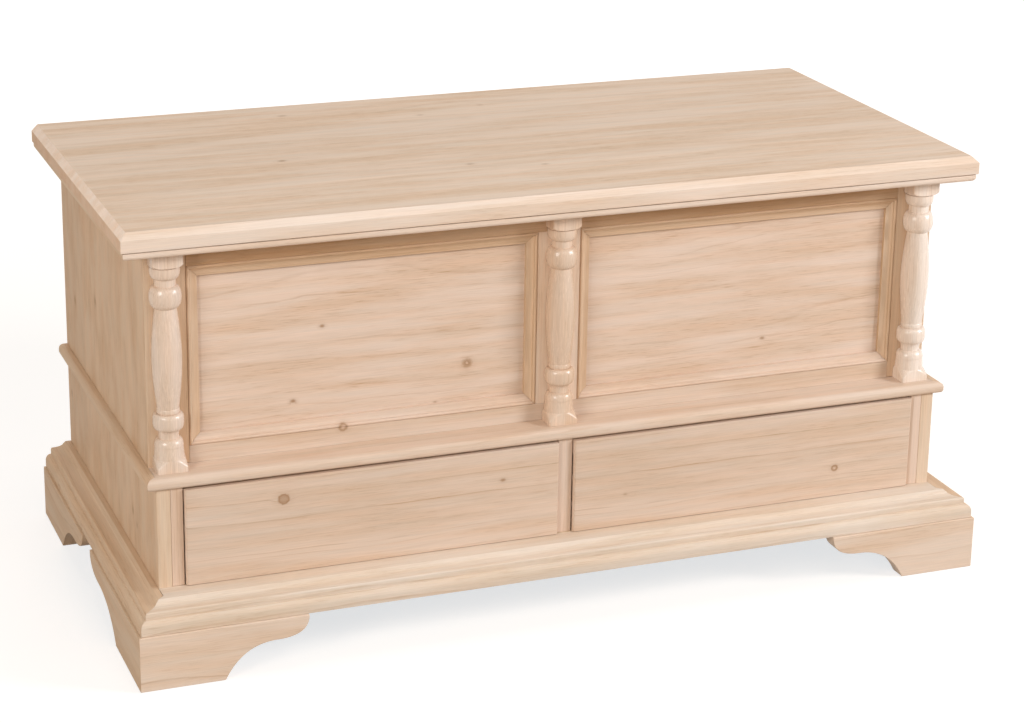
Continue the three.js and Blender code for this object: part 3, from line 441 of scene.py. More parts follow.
def curve(start, handle, end, steps=22):
    """Points on a quadratic curve: (1 - t) squared times its start, plus 2 t (1 - t) times its handle,
    plus t squared times its end."""
    t = np.linspace(0, 1, steps + 1)[:, None]
    start, handle, end = (np.array(p) for p in (start, handle, end))
    return (1 - t) ** 2 * start + 2 * t * (1 - t) * handle + t**2 * end


def shell(rings):
    """A closed surface through closed rings, all of the same number of points: row k and column n of
    the grid is point n of ring k, and the first and last ring are filled in."""
    rings = np.asarray(rings, float)
    rows, count = rings.shape[:2]
    row, column = np.meshgrid(np.arange(rows - 1), np.arange(count), indexing="ij")
    after = (column + 1) % count
    quads = np.stack(
        [row * count + column, row * count + after, (row + 1) * count + after, (row + 1) * count + column],
        axis=-1,
    ).reshape(-1, 4)
    caps = [list(range(count)), list(range((rows - 1) * count, rows * count))]
    return rings.reshape(-1, 3), quads.tolist() + caps


def piece(name, shells, material, body, stands_for=(), ease=None, sharp=32.0):
    """One finished object made of closed shells, with outward faces, eased edges and smooth curves."""
    vertices, faces, base = [], [], 0
    for points, polygons in shells:
        vertices.append(points)
        faces += [[base + i for i in polygon] for polygon in polygons]
        base += len(points)
    mesh = bpy.data.meshes.new(name)
    mesh.from_pydata(np.vstack(vertices).tolist(), [], faces)
    return dress(name, mesh, material, body, stands_for, ease, sharp)


def new_object(name, data):
    """An object in the scene that shows a mesh, a lamp or a camera."""
    thing = bpy.data.objects.new(name, data)
    bpy.context.scene.collection.objects.link(thing)
    return thing


def dress(name, mesh, material, body, stands_for, ease=None, sharp=32.0):
    """Gives a mesh its outward faces, smooth curves, eased edges, material and body. Only an edge that
    bends by more than the sharp angle, in degrees, is eased."""
    made = bmesh.new()
    made.from_mesh(mesh)
    bmesh.ops.recalc_face_normals(made, faces=made.faces)
    made.to_mesh(mesh)
    made.free()
    mesh.shade_smooth()
    mesh.set_sharp_from_angle(angle=math.radians(sharp))
    mesh.materials.clear()
    mesh.materials.append(material)
    thing = new_object(name, mesh)
    ease = bpy.context.scene.mule_chest.pine.ease if ease is None else ease
    if ease:
        bevel = thing.modifiers.new("eased_edges", "BEVEL")
        bevel.width = ease
        bevel.segments = 2
        bevel.limit_method = "ANGLE"
        bevel.angle_limit = math.radians(sharp)
        bevel.harden_normals = True
    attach(thing, body)
    if stands_for:
        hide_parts(*stands_for)
    return thing


def facing(thing):
    """The direction that each face of a piece looks in, one row for each face."""
    normal = np.empty(len(thing.data.polygons) * 3)
    thing.data.polygons.foreach_get("normal", normal)
    return normal.reshape(-1, 3)


def further_pines(thing, index, *pines):
    """Gives a piece more pines. The index has a number for each face: 0 for the first pine, and 1 and
    up for the further ones."""
    for pine in pines:
        thing.data.materials.append(pine)
    thing.data.polygons.foreach_set("material_index", index.astype(np.int32))


def eased_copy(node, material, body, ease=None):
    """A solid's own shape with its triangles merged into whole faces and its edges eased."""
    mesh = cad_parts[node].data.copy()
    made = bmesh.new()
    made.from_mesh(mesh)
    bmesh.ops.remove_doubles(made, verts=made.verts, dist=1e-5)
    bmesh.ops.dissolve_limit(made, angle_limit=math.radians(0.5), verts=made.verts, edges=made.edges)
    made.to_mesh(mesh)
    made.free()
    return dress(node + "_board", mesh, material, body, (node,), ease)


def carried(section, origin, across, up, along, start, end, start_cut=0.0, end_cut=0.0):
    """A closed section carried along a straight line. Its point (u, v) lies at origin + u times across
    + v times up + t times along, where t is start + start_cut at one end and end - end_cut at the
    other. A cut may differ from point to point, as at a mitre."""
    section = np.asarray(section, float)
    across, up, along = (np.asarray(axis, float) for axis in (across, up, along))
    flat = np.asarray(origin, float) + section[:, :1] * across + section[:, 1:] * up
    first = flat + (start + start_cut * np.ones(len(section)))[:, None] * along
    last = flat + (end - end_cut * np.ones(len(section)))[:, None] * along
    return shell([first, last])


def corners(node):
    """Lowest and highest corner of a solid, as two arrays."""
    low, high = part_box(node)
    return np.array(low), np.array(high)


def waist_section(width, height, sizes):
    """A small round below and a larger round above, in depth and height."""
    under, top = sizes.waist_under, sizes.waist_top
    return np.vstack([
        [[width, 0.0]],
        arc((under, under), (under, under), 3, 2),
        arc((top, height - top), (top, top), 2, 1),
        [[width, height]],
    ])


def frame_section(width, height, sizes):
    """A square upper edge and a round below, in depth and height."""
    under = sizes.frame_round
    return np.vstack([
        [[width, height], [0.0, height]],
        arc((under, under), (under, under), 2, 3),
        [[width, 0.0]],
    ])


def plinth_section(width, height, sizes):
    """Face, ovolo, fillet, bead, cove and slope, in depth from the feet and height from their top."""
    face = sizes.plinth_inset
    ovolo_foot = sizes.plinth_face
    ovolo_top = ovolo_foot + sizes.ovolo_height
    step_in = face + sizes.ovolo_width + sizes.fillet
    step_top = ovolo_top + sizes.step
    lip = step_in + sizes.bead
    cove_foot = step_top + sizes.bead
    return np.vstack([
        [[width, 0.0], [face, 0.0]],
        arc((face + sizes.ovolo_width, ovolo_foot), (sizes.ovolo_width, sizes.ovolo_height), 2, 1),
        [[step_in, ovolo_top]],
        arc((lip, step_top), (sizes.bead, sizes.bead), 2, 1),
        arc((lip, cove_foot + sizes.cove_rise), (sizes.cove_width, sizes.cove_rise), -1, 0, 12)[1:],
        [[lip + sizes.cove_width + sizes.slope, height], [width, height]],
    ])


class CaseBoards(bpy.types.Operator):
    """Side boards, back, cheeks, partition and the boards that close the box and the plinth"""

    bl_idname = "mule_chest.case_boards"
    bl_label = "Case boards"

    def execute(self, context):
        step_y = corners("front_stile_left")[0][1]
        waist = corners("waist_rail")[0][2]
        for side, _ in SIDES:
            node = f"side_{side}"
            # The side boards' tone is partly their own and partly painted shade, darker and warmer
            pine = bare_pine(
                f"side pine {side}", "side", width=0.118, tone=SIDE_TONE_AND_PAINTED_SHADE, figure=0.32, cloudy=1.1,
                knots=KNOTS.get(node, ()), cells=(75, 30), flecks=1.0,
            )
            (x0, y0, z0), (x1, y1, z1) = corners(node)
            outline = [(y0, z0), (y1, z0), (y1, z1), (step_y, z1), (step_y, waist), (y0, waist)]
            board = carried(outline, (0, 0, 0), (0, 1, 0), (0, 0, 1), (1, 0, 0), x0, x1)
            board = piece(node + "_board", [board], pine, "case", (node,))
            edge = bare_pine(
                f"side edge pine {side}", "upright", tone=SIDE_EDGE_TONE, figure=0.6, pith=(40, 60)
            )
            further_pines(board, facing(board)[:, 1] < -0.9, edge)
        eased_copy("back_board", bare_pine("back pine", "front", width=0.13), "case")
        for node in ("drawer_cheek_left", "drawer_cheek_right", "drawer_partition"):
            pine = bare_pine(node + " pine", "upright", figure=0.7, pith=(40, 70))
            eased_copy(node, pine, "case", ease=0.0004)
        for node in ("box_floor", "base_board"):
            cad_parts[node].material_slots[0].material = birch_plywood(node + " plywood")
        return {"FINISHED"}


class UpperFront(bpy.types.Operator):
    """Stiles, rails and muntin of the upper front, its two panels and their mitred mouldings"""

    bl_idname = "mule_chest.upper_front"
    bl_label = "Framed upper front"

    def execute(self, context):
        # The stiles' tone is partly painted shade beside the columns, and the muntin's is painted light
        for node, tone in (
            ("front_stile_left", STILE_TONE_AND_PAINTED_SHADE), ("front_stile_right", STILE_TONE_AND_PAINTED_SHADE), ("front_muntin", MUNTIN_PAINTED_LIGHT)
        ):
            pine = bare_pine(node + " pine", "upright", figure=0.8, tone=tone, pith=(55, 60))
            eased_copy(node, pine, "case")
        # The top rail's tone is painted shade, as under the lid's shadow; the bottom rail's is its own
        for node, tone in (("front_rail_top", TOP_RAIL_PAINTED_SHADE), ("front_rail_bottom", RAIL_TONE)):
            pine = bare_pine(node + " pine", "front", tone=tone, knots=KNOTS.get(node, ()), cloudy=1.6)
            eased_copy(node, pine, "case")
        for side, sign in SIDES:
            node = f"front_panel_{side}"
            pine = bare_pine(
                f"panel pine {side}", "front", width=0.115, knots=KNOTS[node], tone=PANEL_TONE, figure=0.7,
                pith=(85, 45), cloudy=1.2, flecks=0.85,
            )
            eased_copy(node, pine, "case", ease=0.0003)
            self.mouldings(side, sign)
        return {"FINISHED"}

    def mouldings(self, side, sign):
        """Each length lies along one edge of the opening. The section's first number runs in from
        that edge and its second out from the panel, and both ends are cut at 45 degrees. The faces of
        the uprights that look to the panel are darker, a painted shade."""
        bead, quirk, quirk_deep, cove, fillet = 0.0036, 0.0008, 0.002, 0.006, 0.0042
        knots = KNOTS["front_rail_bottom"] if sign < 0 else ()
        # The top lengths' tone is painted shade, as under the lid, and the uprights' tone is painted shade
        # too
        foot, top, upright = (
            bare_pine(f"panel moulding pine {side} {way}", grain, figure=0.6, knots=marks, tone=tone)
            for way, grain, marks, tone in (
                ("foot", "front", knots, (1, 1, 1)),
                ("top", "front", (), TOP_MOULDING_PAINTED_SHADE),
                ("upright", "upright", (), UPRIGHT_MOULDING_PAINTED_SHADE),
            )
        )
        # The faces that look to the panel get a darker pine, a painted shade
        shaded_edge_pine = bare_pine(f"panel moulding edge pine {side}", "upright", figure=0.5, tone=INNER_EDGE_PAINTED_SHADE)
        axes = np.eye(3)
        for run, inward_axis, edge, along_axis, pine in (
            ("foot", 2, 0, 0, foot),
            ("top", 2, 1, 0, top),
            ("inner", 0, int(sign < 0), 2, upright),
            ("outer", 0, int(sign > 0), 2, upright),
        ):
            node = f"panel_moulding_{side}_{run}"
            low, high = corners(node)
            width = (high - low)[inward_axis]
            proud = high[1] - low[1]
            floor = proud - quirk_deep
            section = np.vstack([
                [[0.0, 0.0]],
                arc((bead / 2, proud - bead / 2), (bead / 2, bead / 2), 2, 0),
                [[bead, floor], [bead + quirk, floor]],
                arc((bead + quirk + cove, floor), (cove, floor - fillet), 2, 3),
                [[width, fillet], [width, 0.0]],
            ])
            origin = axes[inward_axis] * (low, high)[edge] + axes[1] * high[1]
            inward = axes[inward_axis] * (-1 if edge else 1)
            length = carried(
                section, origin, inward, (0, -1, 0), axes[along_axis], low[along_axis], high[along_axis],
                section[:, 0], section[:, 0],
            )
            length = piece(node + "_length", [length], pine, "case", (node,), ease=0.0002)
            if pine is upright:
                further_pines(length, facing(length) @ inward > 0.9, shaded_edge_pine)


class TurnedColumns(bpy.types.Operator):
    """Three columns: square foot and head, and a turned torus, cup, ring, shaft, ball and collar"""

    bl_idname = "mule_chest.turned_columns"
    bl_label = "Turned columns"

    def execute(self, context):
        sizes = context.scene.mule_chest.columns
        axis_y = corners("front_stile_left")[0][1] - COLUMN_STAND_OFF
        # Each column's tone paints light or shade: the middle one darker, the outer ones paler
        for name, tone in COLUMN_PAINTED_LIGHT_AND_SHADE.items():
            node = f"column_{name}"
            low, high = corners(node)
            rings = self.rings(sizes, (low[0] + high[0]) / 2, axis_y, low[2], high[2], high[1] - axis_y)
            pine = bare_pine(
                f"column pine {name}", "upright", figure=0.55, pith=(seeded(name)[0] * 14, 16), smooth=0.36,
                tone=tone, sheen=0.6,
            )
            piece(node + "_turning", [shell(rings)], pine, "case", (node,), ease=0.0, sharp=40)
        return {"FINISHED"}

    def turned_profile(self, sizes, height):
        """Radius against height. Each round and hollow is a quarter or half of an ellipse, and the
        shaft's radius is its end's plus its swell times a sine that goes from end to end."""
        foot = sizes.foot + sizes.foot_shoulder
        head = height - sizes.head
        at = {name: foot + (head - foot) * share for name, share in COLUMN_SHARES.items()}
        torus, quirk, cove, cup = (w / 2 for w in (sizes.torus, sizes.quirk, sizes.cove, sizes.cup))
        shoulder, end, neck = (w / 2 for w in (sizes.cup_shoulder, sizes.shaft_end, sizes.neck))
        collar_foot, collar, throat = (w / 2 for w in (sizes.collar_foot, sizes.collar, sizes.throat))
        turn = (cove + cup) / 2
        share = np.linspace(0, 1, 60)
        level = np.interp(share, (0, 0.5, 1), (at["ring_top"], at["belly"], at["shaft_top"]))
        shaft = np.column_stack([end + (sizes.shaft / 2 - end) * np.sin(share * math.pi), level])

        def rise(first, last):
            return at[last] - at[first]

        def swelling(first, last, widest, steps=20):
            middle = (at[first] + at[last]) / 2
            return arc((end, middle), (widest - end, rise(first, last) / 2), -1, 1, steps)

        return np.vstack([
            [[sizes.bell_foot / 2, 0.0], [sizes.bell_foot / 2, foot]],
            [[sizes.bell / 2, at["bell_top"]], [quirk, at["bell_top"]]],
            arc((quirk, at["torus_wide"]), (torus - quirk, rise("torus_foot", "torus_wide")), -1, 0),
            arc((cove, at["torus_wide"]), (torus - cove, rise("torus_wide", "torus_top")), 0, 1)[1:],
            arc((turn, at["cup_foot"]), (turn - cove, rise("cup_foot", "cup_turn")), 2, 1),
            arc((turn, at["cup_wide"]), (cup - turn, rise("cup_turn", "cup_wide")), -1, 0)[1:],
            arc((shoulder, at["cup_shoulder"]), (cup - shoulder, rise("cup_shoulder", "cup_top")), 0, 1),
            swelling("cup_top", "ring_top", sizes.ring / 2, 10),
            shaft[1:],
            swelling("shaft_top", "ball_top", sizes.ball / 2)[1:],
            [[neck, at["ball_top"]], [neck, at["neck_top"]]],
            arc(
                (collar_foot, at["collar_wide"]),
                (collar - collar_foot, rise("neck_top", "collar_wide")), -1, 0,
            ),
            [[collar, at["collar_top"]], [throat, at["collar_top"]], [throat, height]],
        ])

    def rings(self, sizes, x, y, z0, z1, flat):
        """A point at angle a and height h has the radius: the greater of the turned radius at h, and
        the lesser of the block's shoulder at h and the square's reach at a. It is cut off at the
        plane of the flat back."""
        height = z1 - z0
        profile = self.turned_profile(sizes, height)
        square = sizes.block / 2
        corner = square * math.sqrt(2) - BLOCK_CORNER
        foot_top = sizes.foot + sizes.foot_shoulder
        head_foot = height - sizes.head
        shoulder = sizes.head_shoulder
        shoulders = np.vstack([
            [[corner, 0.0], [corner, sizes.foot], [square, foot_top]],
            [[0.0, foot_top + APART], [0.0, head_foot - APART]],
            arc((square, head_foot + shoulder), (corner - square, shoulder), -1, 0, 12),
            [[corner, height]],
        ])
        steps = np.diff(profile[:, 1], prepend=-1) <= 1e-9
        ordered = profile[:, 1] + np.cumsum(steps) * APART
        levels = np.concatenate([ordered, shoulders[:, 1], np.linspace(0, height, 150)])
        levels = np.unique(np.clip(levels, 0, height))
        turned = np.interp(levels, ordered, profile[:, 0])
        block = np.interp(levels, shoulders[:, 1], shoulders[:, 0])
        angle = np.linspace(0, 2 * math.pi, sizes.facets, endpoint=False)
        cosine, sine = np.cos(angle), np.sin(angle)
        reach = square / np.maximum(np.abs(cosine), np.abs(sine))
        radius = np.maximum(turned[:, None], np.minimum(block[:, None], reach[None, :]))
        radius = np.minimum(radius, (flat / np.maximum(sine, 1e-3))[None, :])
        level = np.broadcast_to(z0 + levels[:, None], radius.shape)
        return np.stack([x + radius * cosine, y + radius * sine, level], axis=-1)


class Mouldings(bpy.types.Operator):
    """Waist, frame under the lid, and plinth: each across the front and mitred to its sides"""

    bl_idname = "mule_chest.mouldings"
    bl_label = "Waist, top frame and plinth"

    def execute(self, context):
        self.band("waist_rail", "waist_moulding", WAIST_TONE, waist_section)
        # The top frame's front length is made lighter, a painted light
        self.band("top_frame_front", "top_frame", EDGE_PAINTED_LIGHT, frame_section)
        self.band("plinth_front", "plinth", PLINTH_TONE, plinth_section)
        return {"FINISHED"}

    def band(self, front, side_prefix, tone, section_of):
        """The front length and its two side lengths share one section, whose first number runs in
        from the outer edge. At a front corner each is cut back by that number, up to the width of the
        side length."""
        sizes = bpy.context.scene.mule_chest.mouldings
        low, high = corners(front)
        side_low, side_high = corners(side_prefix + "_right")
        inset = side_high[0] - high[0]
        width = side_high[0] - side_low[0] + inset
        height = high[2] - low[2]
        section = self.with_fold(section_of(high[1] - low[1], height, sizes), width)
        cut = np.minimum(section[:, 0], width)
        length = carried(
            section, (0, low[1], low[2]), (0, 1, 0), (0, 0, 1), (1, 0, 0), -high[0], high[0], cut, cut
        )
        pine = bare_pine(front + " pine", "front", figure=0.75, tone=tone)
        piece(front + "_length", [length], pine, "case", (front,), ease=0.0003)
        for side, sign in SIDES:
            node = f"{side_prefix}_{side}"
            low, high = corners(node)
            section = section_of(high[0] - low[0], height, sizes)
            outer = high[0] if sign > 0 else low[0]
            length = carried(
                section, (outer, 0, low[2]), (-sign, 0, 0), (0, 0, 1), (0, 1, 0), low[1], high[1],
                section[:, 0],
            )
            # The side lengths' tone is painted shade, darker and warmer than the front length
            pine = bare_pine(node + " pine", "depth", figure=0.9, tone=SIDE_LENGTH_PAINTED_SHADE)
            piece(node + "_length", [length], pine, "case", (node,), ease=0.0003)

    def with_fold(self, section, width):
        """The section with a point added wherever its outline crosses the given width."""
        points = []
        for here, there in zip(section, np.roll(section, -1, axis=0)):
            points.append(here)
            if (here[0] - width) * (there[0] - width) < 0:
                share = (width - here[0]) / (there[0] - here[0])
                points.append(here + (there - here) * share)
        return np.array(points)


class BracketFeet(bpy.types.Operator):
    """Bracket feet with an ogee cut, mitred at the front corners, with glue blocks behind"""

    bl_idname = "mule_chest.bracket_feet"
    bl_label = "Bracket feet"

    def execute(self, context):
        front = corners("foot_front_left")[0][1]
        rear = corners("foot_side_rear_left")[1][1]
        for side, sign in SIDES:
            node = f"foot_front_{side}"
            low, high = corners(node)
            outer = low[0] if sign < 0 else high[0]
            top = high[2]
            pine = bare_pine(f"front foot pine {side}", "front", figure=0.9, tone=FRONT_FOOT_TONE)
            board = self.board(high[0] - low[0], FOOT_CUTS["front"], top, True)
            board = self.placed(board, (outer, front, 0), (-sign, 0, 0), (0, 1, 0))
            piece(node + "_board", [board], pine, "case", (node,))
            for name, start, way, first in (
                ("side_front", front, 1, FOOT_THICK + GLUE_GAP), ("side_rear", rear, -1, 0.0)
            ):
                node = f"foot_{name}_{side}"
                low, high = corners(node)
                board = self.board(high[1] - low[1], FOOT_CUTS[name], top, way > 0)
                last, back = first + GLUE_BLOCK, FOOT_THICK + GLUE_BLOCK
                square = ((first, FOOT_THICK), (last, FOOT_THICK), (last, back), (first, back))
                block = shell([[(a, b, z) for a, b in square] for z in (0.0, top)])
                shells = [
                    self.placed(made, (outer, start, 0), (0, way, 0), (-sign, 0, 0))
                    for made in (board, block)
                ]
                # The side boards' tone is painted shade, darker and warmer than the front boards
                pine = bare_pine(node + " pine", "depth", figure=0.9, tone=SIDE_FOOT_PAINTED_SHADE)
                piece(node + "_board", shells, pine, "case", (node,))
        return {"FINISHED"}

    def board(self, length, cuts, top, mitred):
        """An outline in length and height, carried through the thickness: flat sole, a quadratic curve
        up to the knee, and a second one out and up to the end."""
        flat, knee = cuts
        knee_at = length - knee
        rise = flat + (knee_at - flat) * 0.33
        outline = np.vstack([
            [[0.0, 0.0]],
            curve((flat, 0.0), (rise, FOOT_ARCH), (knee_at, FOOT_ARCH)),
            curve((knee_at, FOOT_ARCH), (length, FOOT_ARCH), (length, top))[1:],
            [[0.0, top]],
        ])
        rings = []
        for depth in (0.0, FOOT_THICK):
            cut = np.where(outline[:, 0] < 1e-6, depth if mitred else 0.0, 0.0)
            rings.append(np.column_stack([outline[:, 0] + cut, np.full(len(outline), depth), outline[:, 1]]))
        return shell(rings)

    def placed(self, made, origin, along, inward):
        """The same shell with its length, thickness and height laid along three directions."""
        points, faces = made
        return np.array(origin) + points @ np.array([along, inward, (0, 0, 1)], float), faces


class Lid(bpy.types.Operator):
    """The lid: one glued-up board with a bevelled front and sides, and two battens under it"""

    bl_idname = "mule_chest.lid"
    bl_label = "Lid"

    def execute(self, context):
        low, high = corners("lid_board")
        thick = high[2] - low[2]
        profile = np.vstack([
            arc((LID_ROUND, LID_ROUND), (LID_ROUND, LID_ROUND), 3, 2, 4),
            [[0.0, thick - LID_BEVEL], [LID_BEVEL, thick]],
        ])
        rings = [self.ring(low, high, inset, low[2] + rise) for inset, rise in profile]
        pine = bare_pine(
            "lid pine", "lid", width=0.124, knots=KNOTS["lid_board"], tone=LID_TONE, figure=0.35, cloudy=1.1,
            pith=(75, 45), flecks=1.0, smooth=-0.2, sheen=0.1,
        )
        slab = piece("lid_board_slab", [shell(rings)], pine, "lid", ("lid_board",), ease=0.0012)
        # The lid's faces get painted light and shade: the end bevels a painted highlight, the front and back
        # faces painted light, and the ends painted shade
        leaning = np.abs(facing(slab))
        highlit_end_bevels = (leaning[:, 0] > 0.5) & (leaning[:, 2] > 0.5)
        ends = (leaning[:, 0] > 0.5) & ~highlit_end_bevels
        edges = (leaning[:, 1] > 0.5) & (leaning[:, 2] < 0.9)
        further_pines(
            slab, highlit_end_bevels + 2 * edges + 3 * ends,
            bare_pine("lid end bevel pine", "lid", tone=BEVEL_PAINTED_HIGHLIGHT, figure=0.3),
            bare_pine("lid edge pine", "lid", tone=EDGE_PAINTED_LIGHT, figure=0.6),
            bare_pine("lid end pine", "lid", tone=LID_END_PAINTED_SHADE, figure=0.5),
        )
        for side, _ in SIDES:
            eased_copy(f"lid_batten_{side}", bare_pine(f"batten pine {side}", "depth"), "lid")
        return {"FINISHED"}

    def ring(self, low, high, inset, z):
        """A rectangle that stands in from the front and the sides by the profile's first number, and
        not from the back."""
        x0, x1, y0, y1 = low[0] + inset, high[0] - inset, low[1] + inset, high[1]
        return [(x0, y0, z), (x1, y0, z), (x1, y1, z), (x0, y1, z)]


class Drawers(bpy.types.Operator):
    """Two drawers: fronts with knots, dovetailed sides, backs and plywood bottoms"""

    bl_idname = "mule_chest.drawers"
    bl_label = "Drawers"

    def execute(self, context):
        for side, _ in SIDES:
            body = f"drawer_{side}"
            node = body + "_front"
            pine = bare_pine(
                f"drawer front pine {side}", "front", tone=DRAWER_TONE, knots=KNOTS[node], pith=(-70, 46)
            )
            self.widen(eased_copy(node, pine, body, ease=0.0004), DRAWER_FRONT_SPREAD)
            for part, grain in (("side_left", "depth"), ("side_right", "depth"), ("back", "front")):
                node = f"{body}_{part}"
                eased_copy(node, bare_pine(node + " pine", grain), body, ease=0.0004)
            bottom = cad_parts[body + "_bottom"]
            bottom.material_slots[0].material = birch_plywood(f"drawer bottom plywood {side}")
        return {"FINISHED"}

    def widen(self, board, spread):
        """Moves each point of a board away from the board's middle, so that both ends go out by the
        spread: the gap beside a drawer is seen as a thin line."""
        points = np.empty(len(board.data.vertices) * 3)
        board.data.vertices.foreach_get("co", points)
        points = points.reshape(-1, 3)
        low, high = points[:, 0].min(), points[:, 0].max()
        middle = (low + high) / 2
        points[:, 0] = middle + (points[:, 0] - middle) * (1 + 2 * spread / (high - low))
        board.data.vertices.foreach_set("co", points.ravel())


class Hinges(bpy.types.Operator):
    """Brass butt hinges with steel pins and countersunk screws"""

    bl_idname = "mule_chest.hinges"
    bl_label = "Hinges"

    def execute(self, context):
        brass = brushed_metal("pressed brass", "#b3924c", 0.32)
        steel = brushed_metal("drawn steel", "#a5a39e", 0.35)
        for side, _ in SIDES:
            for part, metal in (("leaf_case", brass), ("leaf_lid", brass), ("pin", steel)):
                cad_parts[f"hinge_{part}_{side}"].material_slots[0].material = metal
            self.screws(f"hinge_leaf_case_{side}", 1, "case", brass)
            self.screws(f"hinge_leaf_lid_{side}", -1, "lid", brass)
        return {"FINISHED"}

    def screws(self, node, up, body, metal):
        """Three screw heads sunk in a leaf, on its upper face or its lower one: rings whose radius and
        height follow a shallow dome, with the two halves drawn apart by the slot."""
        thick, inset, radius, dome, sunk, slot = 0.0016, 0.006, 0.0026, 0.00035, 0.0004, 0.0004
        low, high = corners(node)
        face = low[2] + thick if up > 0 else high[2] - thick
        shells = []
        for share in (0.17, 0.5, 0.83):
            centre = np.array([low[0] + (high[0] - low[0]) * share, low[1] + inset])
            for half in (-1, 1):
                angle = np.linspace(0, math.pi, 17) * half
                rim = np.column_stack([np.cos(angle), np.sin(angle)]) * radius
                rings = []
                for scale, lift in ((1.0, -sunk), (1.0, 0.0), (0.8, dome * 0.36), (0.5, dome * 0.75)):
                    ring = rim * scale
                    ring[:, 1] = np.where(np.abs(ring[:, 1]) < slot, half * slot, ring[:, 1])
                    rings.append(np.column_stack([ring + centre, np.full(len(ring), face + up * lift)]))
                shells.append(shell(rings))
        piece(node + "_screws", shells, metal, body, ease=0.0)


class Stage(bpy.types.Operator):
    """Pale floor, soft lamps and the camera"""

    bl_idname = "mule_chest.stage"
    bl_label = "Stage"

    def execute(self, context):
        settings = context.scene.mule_chest.stage
        self.floor(settings)
        self.lamps(settings)
        self.sky(context, settings)
        self.camera(context, settings)
        context.scene.view_settings.view_transform = "Standard"
        return {"FINISHED"}

    def looked_at(self, tree):
        """1 for a ray from the camera, also by way of metal or glass, and 0 for light on the chest."""
        path = add(tree, "LightPath").node.outputs
        seen = add(tree, "Math", (path["Is Camera Ray"], path["Is Glossy Ray"]), operation="MAXIMUM")
        return add(tree, "Math", (seen, path["Is Transmission Ray"]), operation="MAXIMUM")

    def floor(self, settings):
        """A wide square under the chest. It looks white where no shadow falls on it, because it glows
        a little where it is looked at, and more where the lamps no longer reach."""
        ring = np.array([(-1, -1), (1, -1), (1, 1), (-1, 1)]) * FLOOR_REACH
        mesh = bpy.data.meshes.new("studio_floor")
        mesh.from_pydata([(x, y, -FLOOR_DROP) for x, y in ring], [], [(0, 1, 2, 3)])
        material = bpy.data.materials.new("white paper")
        tree = blank_tree(material)
        diffuse = add(tree, "BsdfDiffuse", {"Color": (*settings.floor, 1.0)})
        place = add(tree, "TexCoord", out="Object")
        away = add(tree, "VectorMath", (place,), out="Value", operation="LENGTH")
        lift = add(tree, "MapRange", (away, 0.9, 3.2, 0.74, 0.97), interpolation_type="SMOOTHSTEP")
        lift = add(tree, "Math", (self.looked_at(tree), lift), operation="MULTIPLY")
        glow = add(tree, "Emission", {"Color": linear("#f6fbff"), "Strength": lift})
        both = add(tree, "AddShader", (diffuse, glow))
        add(tree, "OutputMaterial", {"Surface": both})
        mesh.materials.append(material)
        new_object("studio_floor", mesh)

    def lamps(self, settings):
        """A soft, slightly cool lamp low at the right in front, weaker ones in front, overhead and behind,
        and a warm one low at the left. All look at the middle of the chest."""
        for name, place, size, colour in (
            ("key", (3.038, -2.127, 1.748), 1.0, "#fafcff"),
            ("front", (0.0, -2.912, 2.366), 1.0, "#fafcff"),
            ("fill", (-2.666, -2.083, 1.481), 1.1, "#fffdf8"),
            ("top", (0.0, -0.2, 4.25), 2.0, "#fafcff"),
            ("back", (0.6, 3.22, 2.54), 2.0, "#fafcff"),
        ):
            lamp = bpy.data.lights.new(name + "_lamp", "AREA")
            lamp.size = size
            lamp.energy = getattr(settings, name)
            lamp.color = linear(colour)[:3]
            holder = new_object(name + "_lamp", lamp)
            holder.location = place
            holder.rotation_euler = (Vector(place) - LAMP_TARGET).to_track_quat("Z", "Y").to_euler()

    def sky(self, context, settings):
        """An even warm light from all round, which is white where it is looked at."""
        context.scene.world = bpy.data.worlds.new("white_room")
        tree = blank_tree(context.scene.world)
        shown = self.looked_at(tree)
        strength = add(tree, "MapRange", (shown, 0.0, 1.0, settings.sky, 1.0))
        tint = add(tree, "Mix", {0: shown, 6: linear("#ffe4c2"), 7: (1, 1, 1, 1)}, out=2, data_type="RGBA")
        light = add(tree, "Background", {"Color": tint, "Strength": strength})
        add(tree, "OutputWorld", {"Surface": light})

    def camera(self, context, settings):
        """Stands at the left in front, above the lid, as the photograph was taken."""
        data = bpy.data.cameras.new("camera")
        data.lens = settings.lens
        data.sensor_width = 36.0
        data.shift_y = CAMERA_SHIFT
        holder = new_object("camera", data)
        right, down, ahead = (Vector(row) for row in CAMERA_ROWS)
        turn = Matrix((right, -down, -ahead)).transposed()
        holder.matrix_world = Matrix.Translation(CAMERA_PLACE) @ turn.to_4x4()
        context.scene.camera = holder


# The camera's place in metres, and its directions to the right, down and ahead
CAMERA_PLACE = (-1.08077, -2.81800, 1.31603)
CAMERA_ROWS = (
    (0.934049, -0.356814, 0.015389),
    (-0.094399, -0.288212, -0.952902),
    (0.344444, 0.888604, -0.302887),
)
CAMERA_SHIFT = -0.0894

# The floor, in metres: how far it reaches each way, and how far it lies under the feet
FLOOR_REACH = 14.0
FLOOR_DROP = 0.0004

# All lamps look at this place in the middle of the chest
LAMP_TARGET = Vector((0.0, 0.0, 0.25))

# Lid, in metres: the bevel's width and height, and the round under its edge
LID_BEVEL = 0.0075
LID_ROUND = 0.0015

# Bracket feet, in metres: the boards' thickness, the arch's height, the glue blocks' width and their
# play behind a front board, and for each board its flat sole and its knee's distance from the end
FOOT_THICK = 0.022
FOOT_ARCH = 0.040
GLUE_BLOCK = 0.032
GLUE_GAP = 0.00015
FOOT_CUTS = {"front": (0.097, 0.037), "side_front": (0.124, 0.045), "side_rear": (0.110, 0.045)}

# How far each end of a drawer front is drawn out, in metres, so that the gap beside it is thin
DRAWER_FRONT_SPREAD = 0.0009

